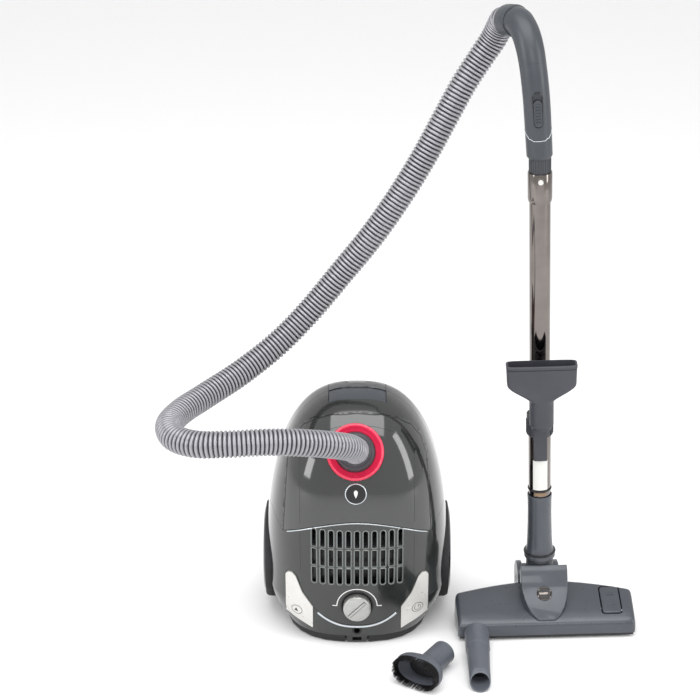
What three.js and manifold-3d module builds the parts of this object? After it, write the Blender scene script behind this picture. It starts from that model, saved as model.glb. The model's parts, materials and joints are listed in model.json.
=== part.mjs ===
// Canister vacuum cleaner, parked upright on its tail, with its hose, telescopic wand,
// floor head, upholstery nozzle, crevice tool and dusting brush.
// Millimetres, +Z up, +X to the right, -Y towards the person who uses it.
// The origin is on the floor, at the middle of the canister's standing base.
import * as THREE from 'three';
import { mergeVertices } from 'three/addons/utils/BufferGeometryUtils.js';
import Module from 'manifold-3d';

const wasm = await Module();
wasm.setup();

// ---------------------------------------------------------------- clearances
const GAP = 0.3; // between pieces that touch
const SEAM = 0.6; // joint lines between casing pieces
const RUN = 0.5; // round moving pieces

// ---------------------------------------------------------------- canister casing
const BODY_HEIGHT = 382;
const BODY_HALF_WIDTH = 139;
const BODY_FRONT = 138; // from the middle line to the lid side
const BODY_BACK = 84; // from the middle line to the underside
const BODY_Y = 20; // middle line of the casing
const BODY_BOTTOM = 15; // bottom edge of the casing above the floor
const BODY_ROUNDNESS = 2.6; // exponent of the casing's plan outline
const WALL = 3; // casing wall
const SPLIT_Y = -15; // plane between the front covers and the base shell
const SPLIT_BEND_Z = 203; // above this height the plane leans back
const SPLIT_NOSE_Y = 10; // where it meets the nose

// ---------------------------------------------------------------- lid and tail seam
const SEAM_Z = 217; // top of the arched seam between lid and tail cover
const SEAM_DROP = 34; // how far the seam falls to its ends
const SEAM_HALF = 112; // half width of the arched seam
const SEAM_WING_X = 129; // outer end of the lid's lower corner
const SEAM_WING_RISE = 20;
const PANEL_TOP = 366; // top of the glossy front panel
const BUMPER_Z = 35; // edge between tail cover and bumper at the middle
const BUMPER_RISE = 31; // how far that edge rises to the pedals

// ---------------------------------------------------------------- standing base
const BASE_HEIGHT = BODY_BOTTOM - SEAM;
const BASE_INSET = 4;
const BASE_FLOOR = 3;
const TAB_HALF = 17;
const TAB_FRONT = -101;
const TAB_BOTTOM = 2;
const TAB_SLOT_HALF = 7;

// ---------------------------------------------------------------- hose inlet
const INLET = new THREE.Vector3(-3, -88, 321);
const INLET_AXIS = new THREE.Vector3(0, -0.87, 0.49).normalize();
const INLET_RING_R = 43;
const SOCKET_R = 30;
const CONNECTOR_R = 23.5;
const CONNECTOR_TIP = 45;
const HOSE_R = 20;
const HOSE_BORE = 16.5;

// ---------------------------------------------------------------- latch and nose handle
const LATCH_HALF = 43;
const LATCH_FRONT_Y = -22;
const LATCH_THICK = 5;
const LATCH_SINK = 1.2;
const HANDLE_BACK_Y = 36;
const HANDLE_THICK = 7;

// ---------------------------------------------------------------- grille, knob, pedals
const SLOT_WIDTH = 7.6;
const SLOT_HEIGHT = 29;
const SLOT_PITCH_X = 13;
const SLOT_PITCH_Z = 32.4;
const SLOT_COLUMNS = 11;
const SLOT_ROWS = 3;
const GRILLE_BOTTOM = 109.5;
const KNOB_Z = 71;
const KNOB_R = 21;
const KNOB_RECESS_R = KNOB_R + 4;
const KNOB_STANDS = 12;
const STEM_R = 3;
const PEDAL_RAISE = 2;

// ---------------------------------------------------------------- wheels and castor
const WHEEL_R = 76;
const WHEEL_Y = 38;
const WHEEL_Z = 90;
const WHEEL_INNER_X = BODY_HALF_WIDTH - 18;
const WHEEL_WIDTH = 25;
const TYRE_DEPTH = 9;
const WELL_CLEARANCE = 3.5;
const AXLE_R = 6;
const CASTOR_Z = 305;
const CASTOR_R = 11;
const CASTOR_WIDTH = 13;
const CASTOR_REACH = 114; // how far the castor and the wheels stand behind the middle
const CASTOR_BOSS_R = 24;

// ---------------------------------------------------------------- inside the canister
const PARTITION_Z = 172;
const PARTITION_THICK = 3;
const MOTOR_R = 52;
const MOTOR_HEIGHT = 74;
const MOTOR_Y = 10;
const MOTOR_INLET_R = 26;
const FAN_R = 44;
const SHAFT_R = 5;
const FILTER_HALF = 45;
const FILTER_THICK = 8;
const DRUM_R = 62;
const DRUM_HUB_R = 30;
const DRUM_BOTTOM = 24;
const DRUM_TOP = 66;
const DRUM_POST_R = 8;
const BAG_HALF_DEPTH = 52;
const BAG_BOTTOM = 190;
const BAG_TOP = 318;
const BAG_SIDE_SPACE = 14;
const BAG_SKIN = 2.5;

// ---------------------------------------------------------------- wand
const WAND_FOOT = new THREE.Vector3(285, -2, 60);
const WAND_LEAN = 1.8; // degrees towards the canister
const NECK_BOTTOM = 39;
const NECK_TOP = 148;
const LOWER_R = 17.2;
const TUBE_WALL = 1.3;
const UPPER_R = LOWER_R - 1.6;
const NECK_R = LOWER_R + 1.8;
const LOWER_BOTTOM = 58;
const COLLAR_BOTTOM = 249;
const COLLAR_TOP = 278;
const COLLAR_R = LOWER_R + 2.8;
const UPPER_BOTTOM = 66;
const BELL_BOTTOM = 627;
const BELL_TOP = 673;
const BELL_R = UPPER_R + 2.4;
const SPIGOT_TOP = 694;
const KEY_BOTTOM = 213;
const KEY_TOP = 268;
const KEY_WIDTH = 20;
const KEY_THICK = 4;
const CLIP_OFFSET = 39; // from the wand's axis to the stored nozzle's axis
const CLIP_THICK = 6;
const POST_R = 15;
const BUTTON_R = 4;
const BUTTON_Z = 662;

// ---------------------------------------------------------------- grip and cuff
const GRIP_R = 19;
const GRIP_END_R = 21;
const GRIP_BORE = 14;
const CUFF_R = 23.5;
const CUFF_LENGTH = 30;
const SLIDER_WIDTH = 12;
const SLIDER_LENGTH = 40;
const SLIDER_TRAVEL = 10;
const SLIDER_PLACE = 0.225; // share of the way up the grip's curve
const SLIDER_THICK = 5;

// ---------------------------------------------------------------- floor head
const HEAD_X = 290;
const HEAD_Y = -45;
const HEAD_YAW = 3; // degrees
const HEAD_HALF_WIDTH = 137;
const HEAD_DEPTH = 92;
const HEAD_FRONT_HEIGHT = 28;
const HEAD_BACK_HEIGHT = 57;
const HEAD_END_DROP = 7;
const HEAD_WALL = 2.6;
const SOLE_BOTTOM = 4;
const SOLE_THICK = 4;
const COVER_HALF = 36;
const COVER_TOP = 94;
const TILT_Y = 59; // tilt axis behind the head's middle
const TILT_Z = 50;
const BARREL_R = 23;
const BARREL_HALF = 24;
const EAR_R = 28;
const EAR_THICK = 8;
const ELBOW_R = 21;
const ROCKER_X = 102;
const ROCKER_WIDTH = 30;
const ROCKER_LENGTH = 54;
const ROCKER_THICK = 9;
const ROLLER_R = 10;
const ROLLER_WIDTH = 9;
const ROLLER_X = 84;
const ROLLER_Y = 20;
const BRUSH_HALF = 112;
const BRUSH_THICK = 6;
const BRUSH_Y = -36;
const BRUSH_TOP = 16;

// ---------------------------------------------------------------- loose tools
const NOZZLE_WIDTH = 104;
const NOZZLE_NECK_R = 18.3;
const NOZZLE_BORE = POST_R + RUN;
const NOZZLE_LENGTH = 100;
const NOZZLE_THICK = 26;
const CREVICE = new THREE.Vector3(183, -102, 18.8);
const CREVICE_R = 18.5;
const CREVICE_LENGTH = 138;
const CREVICE_STEP = 50;
const BRUSH_TOOL_TURN = -32; // degrees about +Z
const BRUSH_TOOL_HALF_WIDTH = 38;
const BRUSH_TOOL_HALF_HEIGHT = 25;
const BRUSH_TOOL = new THREE.Vector3(90, -224, BRUSH_TOOL_HALF_HEIGHT + GAP);
const BRUSH_TOOL_NECK_R = 18.5;
const BRUSH_TOOL_LENGTH = 78;
const BRISTLE_LENGTH = 13;

const RING = 18; // sides of most round pieces
const WHEEL_SIDES = 24;
const DEG = Math.PI / 180;

// ================================================================= helpers

function solid(geometry) {
  const plain = geometry.clone();
  for (const name of ['normal', 'uv', 'color']) plain.deleteAttribute(name);
  const merged = mergeVertices(plain, 1e-4);
  return new wasm.Manifold(new wasm.Mesh({
    numProp: 3,
    vertProperties: new Float32Array(merged.attributes.position.array),
    triVerts: new Uint32Array(merged.index.array),
  }));
}

function geometryOf(shape) {
  const mesh = shape.getMesh();
  const geometry = new THREE.BufferGeometry();
  geometry.setAttribute('position', new THREE.BufferAttribute(mesh.vertProperties, 3));
  geometry.setIndex(new THREE.BufferAttribute(mesh.triVerts, 1));
  geometry.computeVertexNormals();
  return geometry;
}

function moved(shape, matrix) {
  return shape.transform(matrix.elements);
}

function shifted(shape, x, y, z) {
  return shape.translate([x, y, z]);
}

function box(x0, x1, y0, y1, z0, z1) {
  const geometry = new THREE.BoxGeometry(x1 - x0, y1 - y0, z1 - z0);
  geometry.translate((x0 + x1) / 2, (y0 + y1) / 2, (z0 + z1) / 2);
  return solid(geometry);
}

// A turned solid about +Z. Each point is [radius, height].
function turned(points, sides = RING) {
  const profile = points.map(([r, z]) => new THREE.Vector2(r, z));
  const geometry = new THREE.LatheGeometry(profile, sides);
  geometry.rotateX(Math.PI / 2);
  const shape = solid(geometry);
  return shape.volume() < 0 ? solid(flipped(geometry)) : shape;
}

function flipped(geometry) {
  const copy = geometry.clone();
  const index = copy.index.array;
  for (let i = 0; i < index.length; i += 3) {
    [index[i], index[i + 1]] = [index[i + 1], index[i]];
  }
  return copy;
}

function rod(radius, z0, z1, sides = RING) {
  return turned([[0, z0], [radius, z0], [radius, z1], [0, z1]], sides);
}

function pipe(outer, inner, z0, z1, sides = RING) {
  return turned([[inner, z0], [outer, z0], [outer, z1], [inner, z1], [inner, z0]], sides);
}

// A rod along X or Y, by its middle and half length.
function rodX(radius, x0, x1, y, z, sides = RING) {
  return moved(rod(radius, x0, x1, sides), new THREE.Matrix4().makeRotationY(Math.PI / 2))
    .translate([0, y, z]);
}

function rodY(radius, y0, y1, x, z, sides = RING) {
  return moved(rod(radius, -y1, -y0, sides), new THREE.Matrix4().makeRotationX(Math.PI / 2))
    .translate([x, 0, z]);
}

// A prism whose outline is drawn in X and Z, running along Y.
function prismXZ(outline, y0, y1) {
  const shape = new THREE.Shape(outline.map(([x, z]) => new THREE.Vector2(x, z)));
  const geometry = new THREE.ExtrudeGeometry(shape, { depth: y1 - y0, bevelEnabled: false });
  geometry.rotateX(Math.PI / 2);
  geometry.translate(0, y1, 0);
  return solid(geometry);
}

// A prism whose outline is drawn in Y and Z, running along X.
function prismYZ(outline, x0, x1) {
  const shape = new THREE.Shape(outline.map(([y, z]) => new THREE.Vector2(y, z)));
  const geometry = new THREE.ExtrudeGeometry(shape, { depth: x1 - x0, bevelEnabled: false });
  geometry.rotateX(Math.PI / 2);
  geometry.rotateZ(Math.PI / 2);
  geometry.translate(x0, 0, 0);
  return solid(geometry);
}

// A prism whose outline is drawn in X and Y, running along Z.
function prismXY(outline, z0, z1) {
  const shape = new THREE.Shape(outline.map(([x, y]) => new THREE.Vector2(x, y)));
  const geometry = new THREE.ExtrudeGeometry(shape, { depth: z1 - z0, bevelEnabled: false });
  geometry.translate(0, 0, z0);
  return solid(geometry);
}

// A closed skin over rings of equally many points, flat at both ends.
function loft(rings) {
  const count = rings[0].length;
  const positions = rings.flat().flatMap((p) => [p.x, p.y, p.z]);
  const index = [];
  for (let r = 0; r + 1 < rings.length; r++) {
    for (let k = 0; k < count; k++) {
      const a = r * count + k;
      const b = r * count + ((k + 1) % count);
      index.push(a, b, b + count, a, b + count, a + count);
    }
  }
  const last = (rings.length - 1) * count;
  for (let k = 1; k + 1 < count; k++) {
    index.push(0, k + 1, k, last, last + k, last + k + 1);
  }
  const geometry = new THREE.BufferGeometry();
  geometry.setAttribute('position', new THREE.Float32BufferAttribute(positions, 3));
  geometry.setIndex(index);
  const shape = solid(geometry);
  return shape.volume() < 0 ? solid(flipped(geometry)) : shape;
}

// A round bar along a curve.
function bar(curve, radius, steps, sides = 12) {
  const circle = new THREE.Shape();
  for (let k = 0; k < sides; k++) {
    const angle = (2 * Math.PI * k) / sides;
    const point = [radius * Math.cos(angle), radius * Math.sin(angle)];
    if (k === 0) circle.moveTo(...point);
    else circle.lineTo(...point);
  }
  const geometry = new THREE.ExtrudeGeometry(circle, { steps, extrudePath: curve });
  const shape = solid(geometry);
  return shape.volume() < 0 ? solid(flipped(mergeVertices(geometry))) : shape;
}

// The matrix that puts +Z along an axis, at a point.
function along(axis, at) {
  const turn = new THREE.Quaternion().setFromUnitVectors(new THREE.Vector3(0, 0, 1), axis);
  return new THREE.Matrix4().compose(at, turn, new THREE.Vector3(1, 1, 1));
}

const materials = {
  gloss: ['#5c605e', 0.22, 0.1],
  panel: ['#666c68', 0.15, 0.1],
  navy: ['#2b2f3a', 0.2, 0.1],
  black: ['#17181a', 0.6, 0],
  rubber: ['#202124', 0.9, 0],
  red: ['#e8365a', 0.3, 0],
  collar: ['#55505a', 0.45, 0],
  hose: ['#9a9a9e', 0.45, 0.1],
  pedal: ['#d6d5d0', 0.35, 0.2],
  silver: ['#c9c9c6', 0.3, 0.5],
  chrome: ['#c4c6ca', 0.08, 1],
  grip: ['#5f6670', 0.5, 0],
  dark: ['#46494d', 0.5, 0],
  nozzle: ['#484a52', 0.6, 0],
  head: ['#8c94a0', 0.35, 0.1],
  tool: ['#787e88', 0.5, 0],
  bristle: ['#101012', 0.8, 0],
  paper: ['#d8cfb8', 0.9, 0],
  foam: ['#3a3b3e', 1, 0],
  label: ['#d7d7d2', 0.6, 0],
  steel: ['#a8aab0', 0.3, 1],
};

const vacuum = new THREE.Group();
const canister = new THREE.Group();
const wand = new THREE.Group();
const head = new THREE.Group();
wand.position.copy(WAND_FOOT);
wand.rotation.y = -WAND_LEAN * DEG;
head.position.set(HEAD_X, HEAD_Y, 0);
head.rotation.z = HEAD_YAW * DEG;
vacuum.add(canister, wand, head);

function add(name, shape, material, parent = canister) {
  const [color, roughness, metalness] = materials[material];
  const look = new THREE.MeshStandardMaterial({ color, roughness, metalness });
  const mesh = new THREE.Mesh(geometryOf(shape), look);
  mesh.name = name;
  parent.add(mesh);
  return mesh;
}

// ================================================================= casing outline

// How much of its full size the outline keeps between a start height and the nose.
function closing(z, start, top, power, root) {
  const t = Math.min(Math.max((z - start) / (top - start), 0), 1);
  return (1 - t ** power) ** (1 / root);
}

function tuck(z, start, amount, power) {
  const t = Math.min(Math.max((start - z) / (start - BODY_BOTTOM), 0), 1.2);
  return 1 - amount * t ** power;
}

// Half width, front reach and back reach of the casing at a height.
function outline(z, offset = 0) {
  const top = BODY_HEIGHT + offset;
  return {
    width: (BODY_HALF_WIDTH + offset) * closing(z, 120, top, 2.2, 2.6) * tuck(z, 70, 0.19, 1.6),
    front: (BODY_FRONT + offset) * closing(z, 160, top, 2.4, 2.6) * tuck(z, 160, 0.094, 1.3),
    back: (BODY_BACK + offset) * closing(z, 150, top, 2.2, 2.4) * tuck(z, 70, 0.08, 2),
  };
}

function sectionAt(z, offset, level = z, sides = 26) {
  const { width, front, back } = outline(z, offset);
  const points = [];
  for (let k = 0; k < sides; k++) {
    const angle = (2 * Math.PI * k) / sides;
    const c = Math.cos(angle);
    const s = Math.sin(angle);
    const power = 2 / BODY_ROUNDNESS;
    const x = width * Math.sign(c) * Math.abs(c) ** power;
    const reach = s > 0 ? back : front;
    points.push(new THREE.Vector3(x, BODY_Y + reach * Math.sign(s) * Math.abs(s) ** power, level));
  }
  return points;
}

// The casing as one closed solid, larger or smaller by an offset.
function casing(offset, bottom = BODY_BOTTOM - offset) {
  const top = BODY_HEIGHT + offset;
  const low = [bottom, 28, 46, 70];
  const steps = 9;
  const high = [];
  for (let k = 0; k <= steps; k++) {
    const rise = Math.sin((k / steps) * (Math.PI / 2 - 0.05));
    high.push(120 + (top - 120) * rise);
  }
  return loft([...low, ...high].map((z) => sectionAt(z, offset)));
}

// The casing's front surface, for what is set into it.
function frontY(x, z, offset = 0) {
  const { width, front } = outline(z, offset);
  const share = Math.min(Math.abs(x) / width, 1);
  return BODY_Y - front * (1 - share ** BODY_ROUNDNESS) ** (1 / BODY_ROUNDNESS);
}

function seamZ(x) {
  return SEAM_Z - SEAM_DROP * Math.min(Math.abs(x) / SEAM_HALF, 1) ** 2;
}

const outer = casing(0);
const inner = casing(-WALL, BODY_BOTTOM + WALL);
const shell = outer.subtract(inner);
const FAR = 400;

// Everything above the seam, in front view; `lift` moves its edge up.
function aboveSeam(lift) {
  const edge = [];
  for (let k = -8; k <= 8; k++) {
    const x = (k / 8) * SEAM_HALF;
    edge.push([x, seamZ(x) + lift]);
  }
  const wing = SEAM_Z - SEAM_DROP + SEAM_WING_RISE + lift;
  return [
    [-FAR, wing], [-SEAM_WING_X, wing], ...edge, [SEAM_WING_X, wing], [FAR, wing],
    [FAR, FAR + SEAM_Z], [-FAR, FAR + SEAM_Z],
  ];
}

// The glossy panel in front view; `grow` moves its edge outwards.
function panelOutline(grow) {
  const edge = [];
  for (let k = -8; k <= 8; k++) {
    const x = (k / 8) * (SEAM_HALF + grow);
    edge.push([x, seamZ(x)]);
  }
  const arch = [];
  const shoulder = 262;
  const half = 107 + grow;
  for (let k = 0; k <= 12; k++) {
    const angle = (Math.PI * k) / 12;
    const c = Math.cos(angle);
    const x = half * Math.sign(c) * Math.abs(c) ** 0.8;
    arch.push([x, shoulder + (PANEL_TOP + grow - shoulder) * Math.sin(angle) ** 0.8]);
  }
  return [...edge, ...arch];
}

// The bumper's upper edge rises from the middle to the pedals.
function bumperZ(x) {
  return BUMPER_Z + BUMPER_RISE * (Math.min(Math.abs(x), 68) / 68) ** 2.4;
}

function aboveBumper(lift) {
  const edge = [];
  for (let k = -8; k <= 8; k++) {
    const x = (k / 8) * 68;
    edge.push([x, bumperZ(x) + lift]);
  }
  const side = BUMPER_Z - 6 + lift;
  return [
    [-FAR, side], [-108, side], [-70, edge[0][1]], ...edge, [70, edge[0][1]], [108, side],
    [FAR, side], [FAR, FAR], [-FAR, FAR],
  ];
}

// The foot pedals, in front view, for the right side; `grow` makes the hole.
function pedalOutline(side, grow) {
  const points = [
    [67 - grow, 24 - grow], [108 + grow, 42 - grow * 1.4], [108 + grow, 112 + grow],
    [104 + grow, 118 + grow], [98, 119 + grow], [93 - grow, 114 + grow],
    [83 - grow, 88 + grow * 0.6], [67 - grow, 65 + grow * 0.6],
  ];
  const placed = points.map(([x, z]) => [side * x, z]);
  return side > 0 ? placed : placed.reverse();
}

// ================================================================= casing pieces

const front = prismYZ([
  [-FAR, -FAR], [SPLIT_Y, -FAR], [SPLIT_Y, SPLIT_BEND_Z], [SPLIT_NOSE_Y, BODY_HEIGHT],
  [SPLIT_NOSE_Y, 2 * FAR], [-FAR, 2 * FAR],
], -FAR, FAR);
const wheelWell = (side) => {
  const start = side * (WHEEL_INNER_X - WELL_CLEARANCE);
  const end = side * FAR;
  return rodX(WHEEL_R + WELL_CLEARANCE, Math.min(start, end), Math.max(start, end),
    WHEEL_Y, WHEEL_Z, WHEEL_SIDES);
};
const wheelHouse = (side) => {
  const start = side * (WHEEL_INNER_X - WELL_CLEARANCE - WALL);
  const end = side * FAR;
  return rodX(WHEEL_R + WELL_CLEARANCE + WALL, Math.min(start, end), Math.max(start, end),
    WHEEL_Y, WHEEL_Z, WHEEL_SIDES).intersect(outer);
};
const wells = wheelWell(1).add(wheelWell(-1));
const houses = wheelHouse(1).add(wheelHouse(-1));

const noseBand = (y0, y1, grow) => box(-LATCH_HALF - grow, LATCH_HALF + grow, y0 - grow, y1 + grow,
  BODY_HEIGHT - 40, 2 * FAR);
const handleSlot = noseBand(LATCH_FRONT_Y, HANDLE_BACK_Y, SEAM);
const RING_SIDES = 24;
const ringHole = moved(rod(INLET_RING_R + GAP, -60, 60, RING_SIDES), along(INLET_AXIS, INLET));

function addLid() {
  const lid = shell.intersect(front).intersect(prismXZ(aboveSeam(SEAM), -FAR, FAR));
  const panelHole = prismXZ(panelOutline(SEAM), -FAR, FAR);
  const panelArea = prismXZ(panelOutline(0), -FAR, FAR);
  add('lid_frame', lid.subtract(panelHole).subtract(handleSlot), 'gloss');
  add('lid_panel', lid.intersect(panelArea).subtract(ringHole).subtract(handleSlot), 'panel');
}
addLid();

function addBaseShell() {
  const boss = rodY(CASTOR_BOSS_R, 70, CASTOR_REACH - 2 * CASTOR_R - 4, 0, CASTOR_Z)
    .subtract(inner.intersect(box(-FAR, FAR, -FAR, 78, -FAR, FAR)));
  const pivot = rodY(4 + RUN, 60, FAR, 0, CASTOR_Z, 16);
  const behind = shell.add(houses).add(boss).subtract(front.translate([0, SEAM, 0]))
    .subtract(handleSlot);
  const recess = rodY(CASTOR_BOSS_R, CASTOR_REACH - 2 * CASTOR_R - 4, FAR, 0, CASTOR_Z);
  let base = behind.subtract(wells).subtract(pivot).subtract(recess);
  const axleRoot = WHEEL_INNER_X - WELL_CLEARANCE - WALL + 1;
  const axleEnd = WHEEL_INNER_X + WHEEL_WIDTH - 4;
  base = base.add(rodX(AXLE_R, axleRoot, axleEnd, WHEEL_Y, WHEEL_Z, 20))
    .add(rodX(AXLE_R, -axleEnd, -axleRoot, WHEEL_Y, WHEEL_Z, 20));
  add('base_shell', base, 'navy');
}
addBaseShell();

const knobHole = rodY(KNOB_RECESS_R + GAP, -FAR, 0, 0, KNOB_Z, 24);
const pedalHoles = prismXZ(pedalOutline(1, SEAM), -FAR, SPLIT_Y - 20)
  .add(prismXZ(pedalOutline(-1, SEAM), -FAR, SPLIT_Y - 20));

function addTailCover() {
  const keep = prismXZ(aboveSeam(0), -FAR, FAR);
  let cover = shell.add(houses).intersect(front).subtract(keep)
    .intersect(prismXZ(aboveBumper(SEAM), -FAR, FAR)).subtract(wells);
  const slots = [];
  for (let column = 0; column < SLOT_COLUMNS; column++) {
    const x = (column - (SLOT_COLUMNS - 1) / 2) * SLOT_PITCH_X;
    for (let row = 0; row < SLOT_ROWS; row++) {
      const z = GRILLE_BOTTOM + row * SLOT_PITCH_Z;
      slots.push(box(x - SLOT_WIDTH / 2, x + SLOT_WIDTH / 2, -FAR, -60, z, z + SLOT_HEIGHT));
    }
  }
  cover = cover.subtract(knobHole).subtract(pedalHoles);
  for (const slot of slots) cover = cover.subtract(slot);
  add('tail_cover', cover, 'gloss');
}
addTailCover();

const OUTLET_Z = 25;
const OUTLET_R = 7;

function addBumper() {
  const low = prismXZ(aboveBumper(0), -FAR, FAR);
  const frontEdge = frontY(0, BODY_BOTTOM);
  const taper = TAB_HALF - 3;
  const tab = prismXZ([
    [-taper, TAB_BOTTOM], [taper, TAB_BOTTOM], [TAB_HALF, BODY_BOTTOM + 2],
    [-TAB_HALF, BODY_BOTTOM + 2],
  ], TAB_FRONT, TAB_FRONT + 13);
  const slot = box(-TAB_SLOT_HALF, TAB_SLOT_HALF, -FAR, TAB_FRONT + 9, TAB_BOTTOM + 2.5,
    TAB_BOTTOM + 8);
  const outlet = rodY(OUTLET_R + GAP, -FAR, 0, 0, OUTLET_Z, 20);
  const bumper = shell.intersect(front).subtract(low).subtract(pedalHoles)
    .intersect(box(-FAR, FAR, frontEdge - 20, SPLIT_Y, 0, FAR));
  add('bumper', bumper.add(tab).subtract(slot).subtract(outlet).subtract(wells), 'gloss');

  const face = frontY(0, OUTLET_Z);
  const bush = rodY(OUTLET_R, face - 1, face + 14, 0, OUTLET_Z, 20)
    .subtract(rodY(OUTLET_R - 2.5, face - 5, face + 20, 0, OUTLET_Z, 16));
  add('cord_outlet', bush, 'black');
}
addBumper();

function addTailBase() {
  const rings = [0, 3, BASE_HEIGHT].map((z, k) => sectionAt(BODY_BOTTOM, -BASE_INSET - [3, 0, 0][k], z));
  const tabRoom = box(-TAB_HALF - 1, TAB_HALF + 1, -FAR, TAB_FRONT + 13 + GAP, -1, FAR);
  const hollow = loft([BASE_FLOOR, BASE_HEIGHT + 1].map((z) => sectionAt(BODY_BOTTOM, -BASE_INSET - 6, z)));
  const ribs = box(-FAR, FAR, BODY_Y - 2, BODY_Y + 2, 0, FAR).add(box(-2, 2, -FAR, FAR, 0, FAR));
  const tabWall = box(-TAB_HALF - 4, TAB_HALF + 4, -FAR, TAB_FRONT + 16 + GAP, -1, FAR);
  add('tail_base', loft(rings).subtract(hollow.subtract(ribs).subtract(tabWall)).subtract(tabRoom),
    'black');
}
addTailBase();

function addHandleAndLatch() {
  const handle = outer.subtract(casing(-HANDLE_THICK))
    .intersect(noseBand(LATCH_FRONT_Y, HANDLE_BACK_Y, 0)).subtract(front.translate([0, SEAM, 0]));
  add('carry_handle', handle, 'navy');
  const latch = casing(-LATCH_SINK).subtract(casing(-LATCH_SINK - LATCH_THICK))
    .intersect(noseBand(LATCH_FRONT_Y, HANDLE_BACK_Y, 0)).intersect(front);
  add('lid_latch', latch, 'grip');
}
addHandleAndLatch();

// ================================================================= hose inlet

function addInlet() {
  const place = along(INLET_AXIS, INLET);
  const ring = turned([
    [SOCKET_R + GAP, -12], [INLET_RING_R - 4, -12], [INLET_RING_R, -7], [INLET_RING_R, 3],
    [INLET_RING_R - 2, 5], [SOCKET_R + 4, 1], [SOCKET_R + GAP, 1], [SOCKET_R + GAP, -12],
  ], RING_SIDES);
  add('inlet_ring', moved(ring, place), 'red');
  const socketBore = CONNECTOR_R + RUN;
  const socket = turned([
    [socketBore, -30], [SOCKET_R, -30], [SOCKET_R, -16], [INLET_RING_R - 4, -16],
    [INLET_RING_R - 4, -12 - GAP], [SOCKET_R, -12 - GAP], [SOCKET_R, 3], [socketBore, 3],
    [socketBore, -30],
  ]);
  add('inlet_socket', moved(socket, place), 'collar');
  add('inlet_seal', moved(pipe(SOCKET_R + 3, HOSE_BORE, -34, -30 - GAP), place), 'rubber');
  const connector = turned([
    [HOSE_BORE, -28], [CONNECTOR_R, -28], [CONNECTOR_R, 3 + GAP], [SOCKET_R - 1.5, 3 + GAP],
    [SOCKET_R - 1.5, 22], [SOCKET_R - 4, 25], [CONNECTOR_R, 25], [CONNECTOR_R, CONNECTOR_TIP],
    [HOSE_BORE, CONNECTOR_TIP], [HOSE_BORE, -28],
  ]);
  add('hose_connector', moved(connector, place), 'collar');
}
addInlet();

function addEmblem() {
  const z = 265;
  const x = -2;
  const face = frontY(x, z);
  const badge = rodY(16, face - 1.6, face - GAP, 0, 0, 32);
  const lean = new THREE.Matrix4().makeRotationX(-0.15);
  const placed = moved(badge.translate([0, -face, 0]), lean).translate([x, face - 0.4, z]);
  add('emblem', placed.subtract(casing(GAP)), 'black');
}
addEmblem();

// ================================================================= knob, pedals, switch

function addKnob() {
  const face = frontY(0, KNOB_Z);
  const floor = face + 7;
  const cup = rodY(KNOB_RECESS_R, face - 0.5, floor + 2.5, 0, KNOB_Z, 24)
    .subtract(rodY(KNOB_RECESS_R - 2.5, face - 5, floor, 0, KNOB_Z, 24))
    .subtract(rodY(STEM_R + RUN, -FAR, 0, 0, KNOB_Z, 16));
  add('knob_bezel', cup, 'black');
  const turn = new THREE.Matrix4().makeRotationY(45 * DEG);
  const ridge = moved(box(-1.6, 1.6, 0, 3, -KNOB_R + 3, KNOB_R - 3), turn)
    .translate([0, face - KNOB_STANDS - 2, KNOB_Z]);
  const knob = rodY(KNOB_R, face - KNOB_STANDS, floor - 1, 0, KNOB_Z, 24)
    .add(rodY(STEM_R, floor - 2, floor + 8, 0, KNOB_Z, 16)).add(ridge);
  add('power_knob', knob, 'silver');
  const board = box(-38, 38, floor + 10, floor + 11.6, KNOB_Z - 24, KNOB_Z + 24)
    .add(rodY(9, floor + 4, floor + 10.5, 0, KNOB_Z, 20))
    .add(box(12, 32, floor + 5, floor + 10.5, KNOB_Z - 16, KNOB_Z + 4))
    .subtract(rodY(STEM_R + RUN, 0 - FAR, floor + 9, 0, KNOB_Z, 16));
  add('control_board', board, 'nozzle');
}
addKnob();

const raised = casing(PEDAL_RAISE);

function addPedals() {
  const skin = raised.subtract(casing(-WALL, BODY_BOTTOM + WALL));
  for (const [name, side] of [['rewind_pedal', -1], ['power_pedal', 1]]) {
    const cut = prismXZ(pedalOutline(side, 0), -FAR, SPLIT_Y - 24);
    add(name, skin.intersect(cut), 'pedal');
  }
  const back = frontY(88, 70) + WALL;
  add('power_switch', box(76, 100, back + 22, back + 44, 56, 92)
    .add(box(84, 92, back + 18, back + 23, 66, 74)), 'black');
  const arm = prismXY([[-94, back + 17], [-84, back + 17], [-66, -36], [-70, -30]], 40, 48);
  add('rewind_brake_arm', arm, 'dark');
}
addPedals();

// ================================================================= inside the canister

function addPartition() {
  const inset = casing(-WALL - GAP - 0.2, BODY_BOTTOM + WALL);
  const slab = inset.intersect(box(-FAR, FAR, -FAR, FAR, PARTITION_Z, PARTITION_Z + PARTITION_THICK));
  const roomForWells = rodX(WHEEL_R + WELL_CLEARANCE + WALL + GAP, -FAR, FAR, WHEEL_Y, WHEEL_Z, WHEEL_SIDES)
    .subtract(box(-WHEEL_INNER_X + 7, WHEEL_INNER_X - 7, -FAR, FAR, -FAR, FAR));
  add('partition', slab.subtract(rod(MOTOR_INLET_R, 0, FAR).translate([0, MOTOR_Y, 0]))
    .subtract(roomForWells), 'dark');
  const level = PARTITION_Z + PARTITION_THICK + GAP;
  add('motor_filter', box(-FILTER_HALF, FILTER_HALF, MOTOR_Y - FILTER_HALF, MOTOR_Y + FILTER_HALF,
    level, level + FILTER_THICK), 'foam');
}
addPartition();

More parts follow.
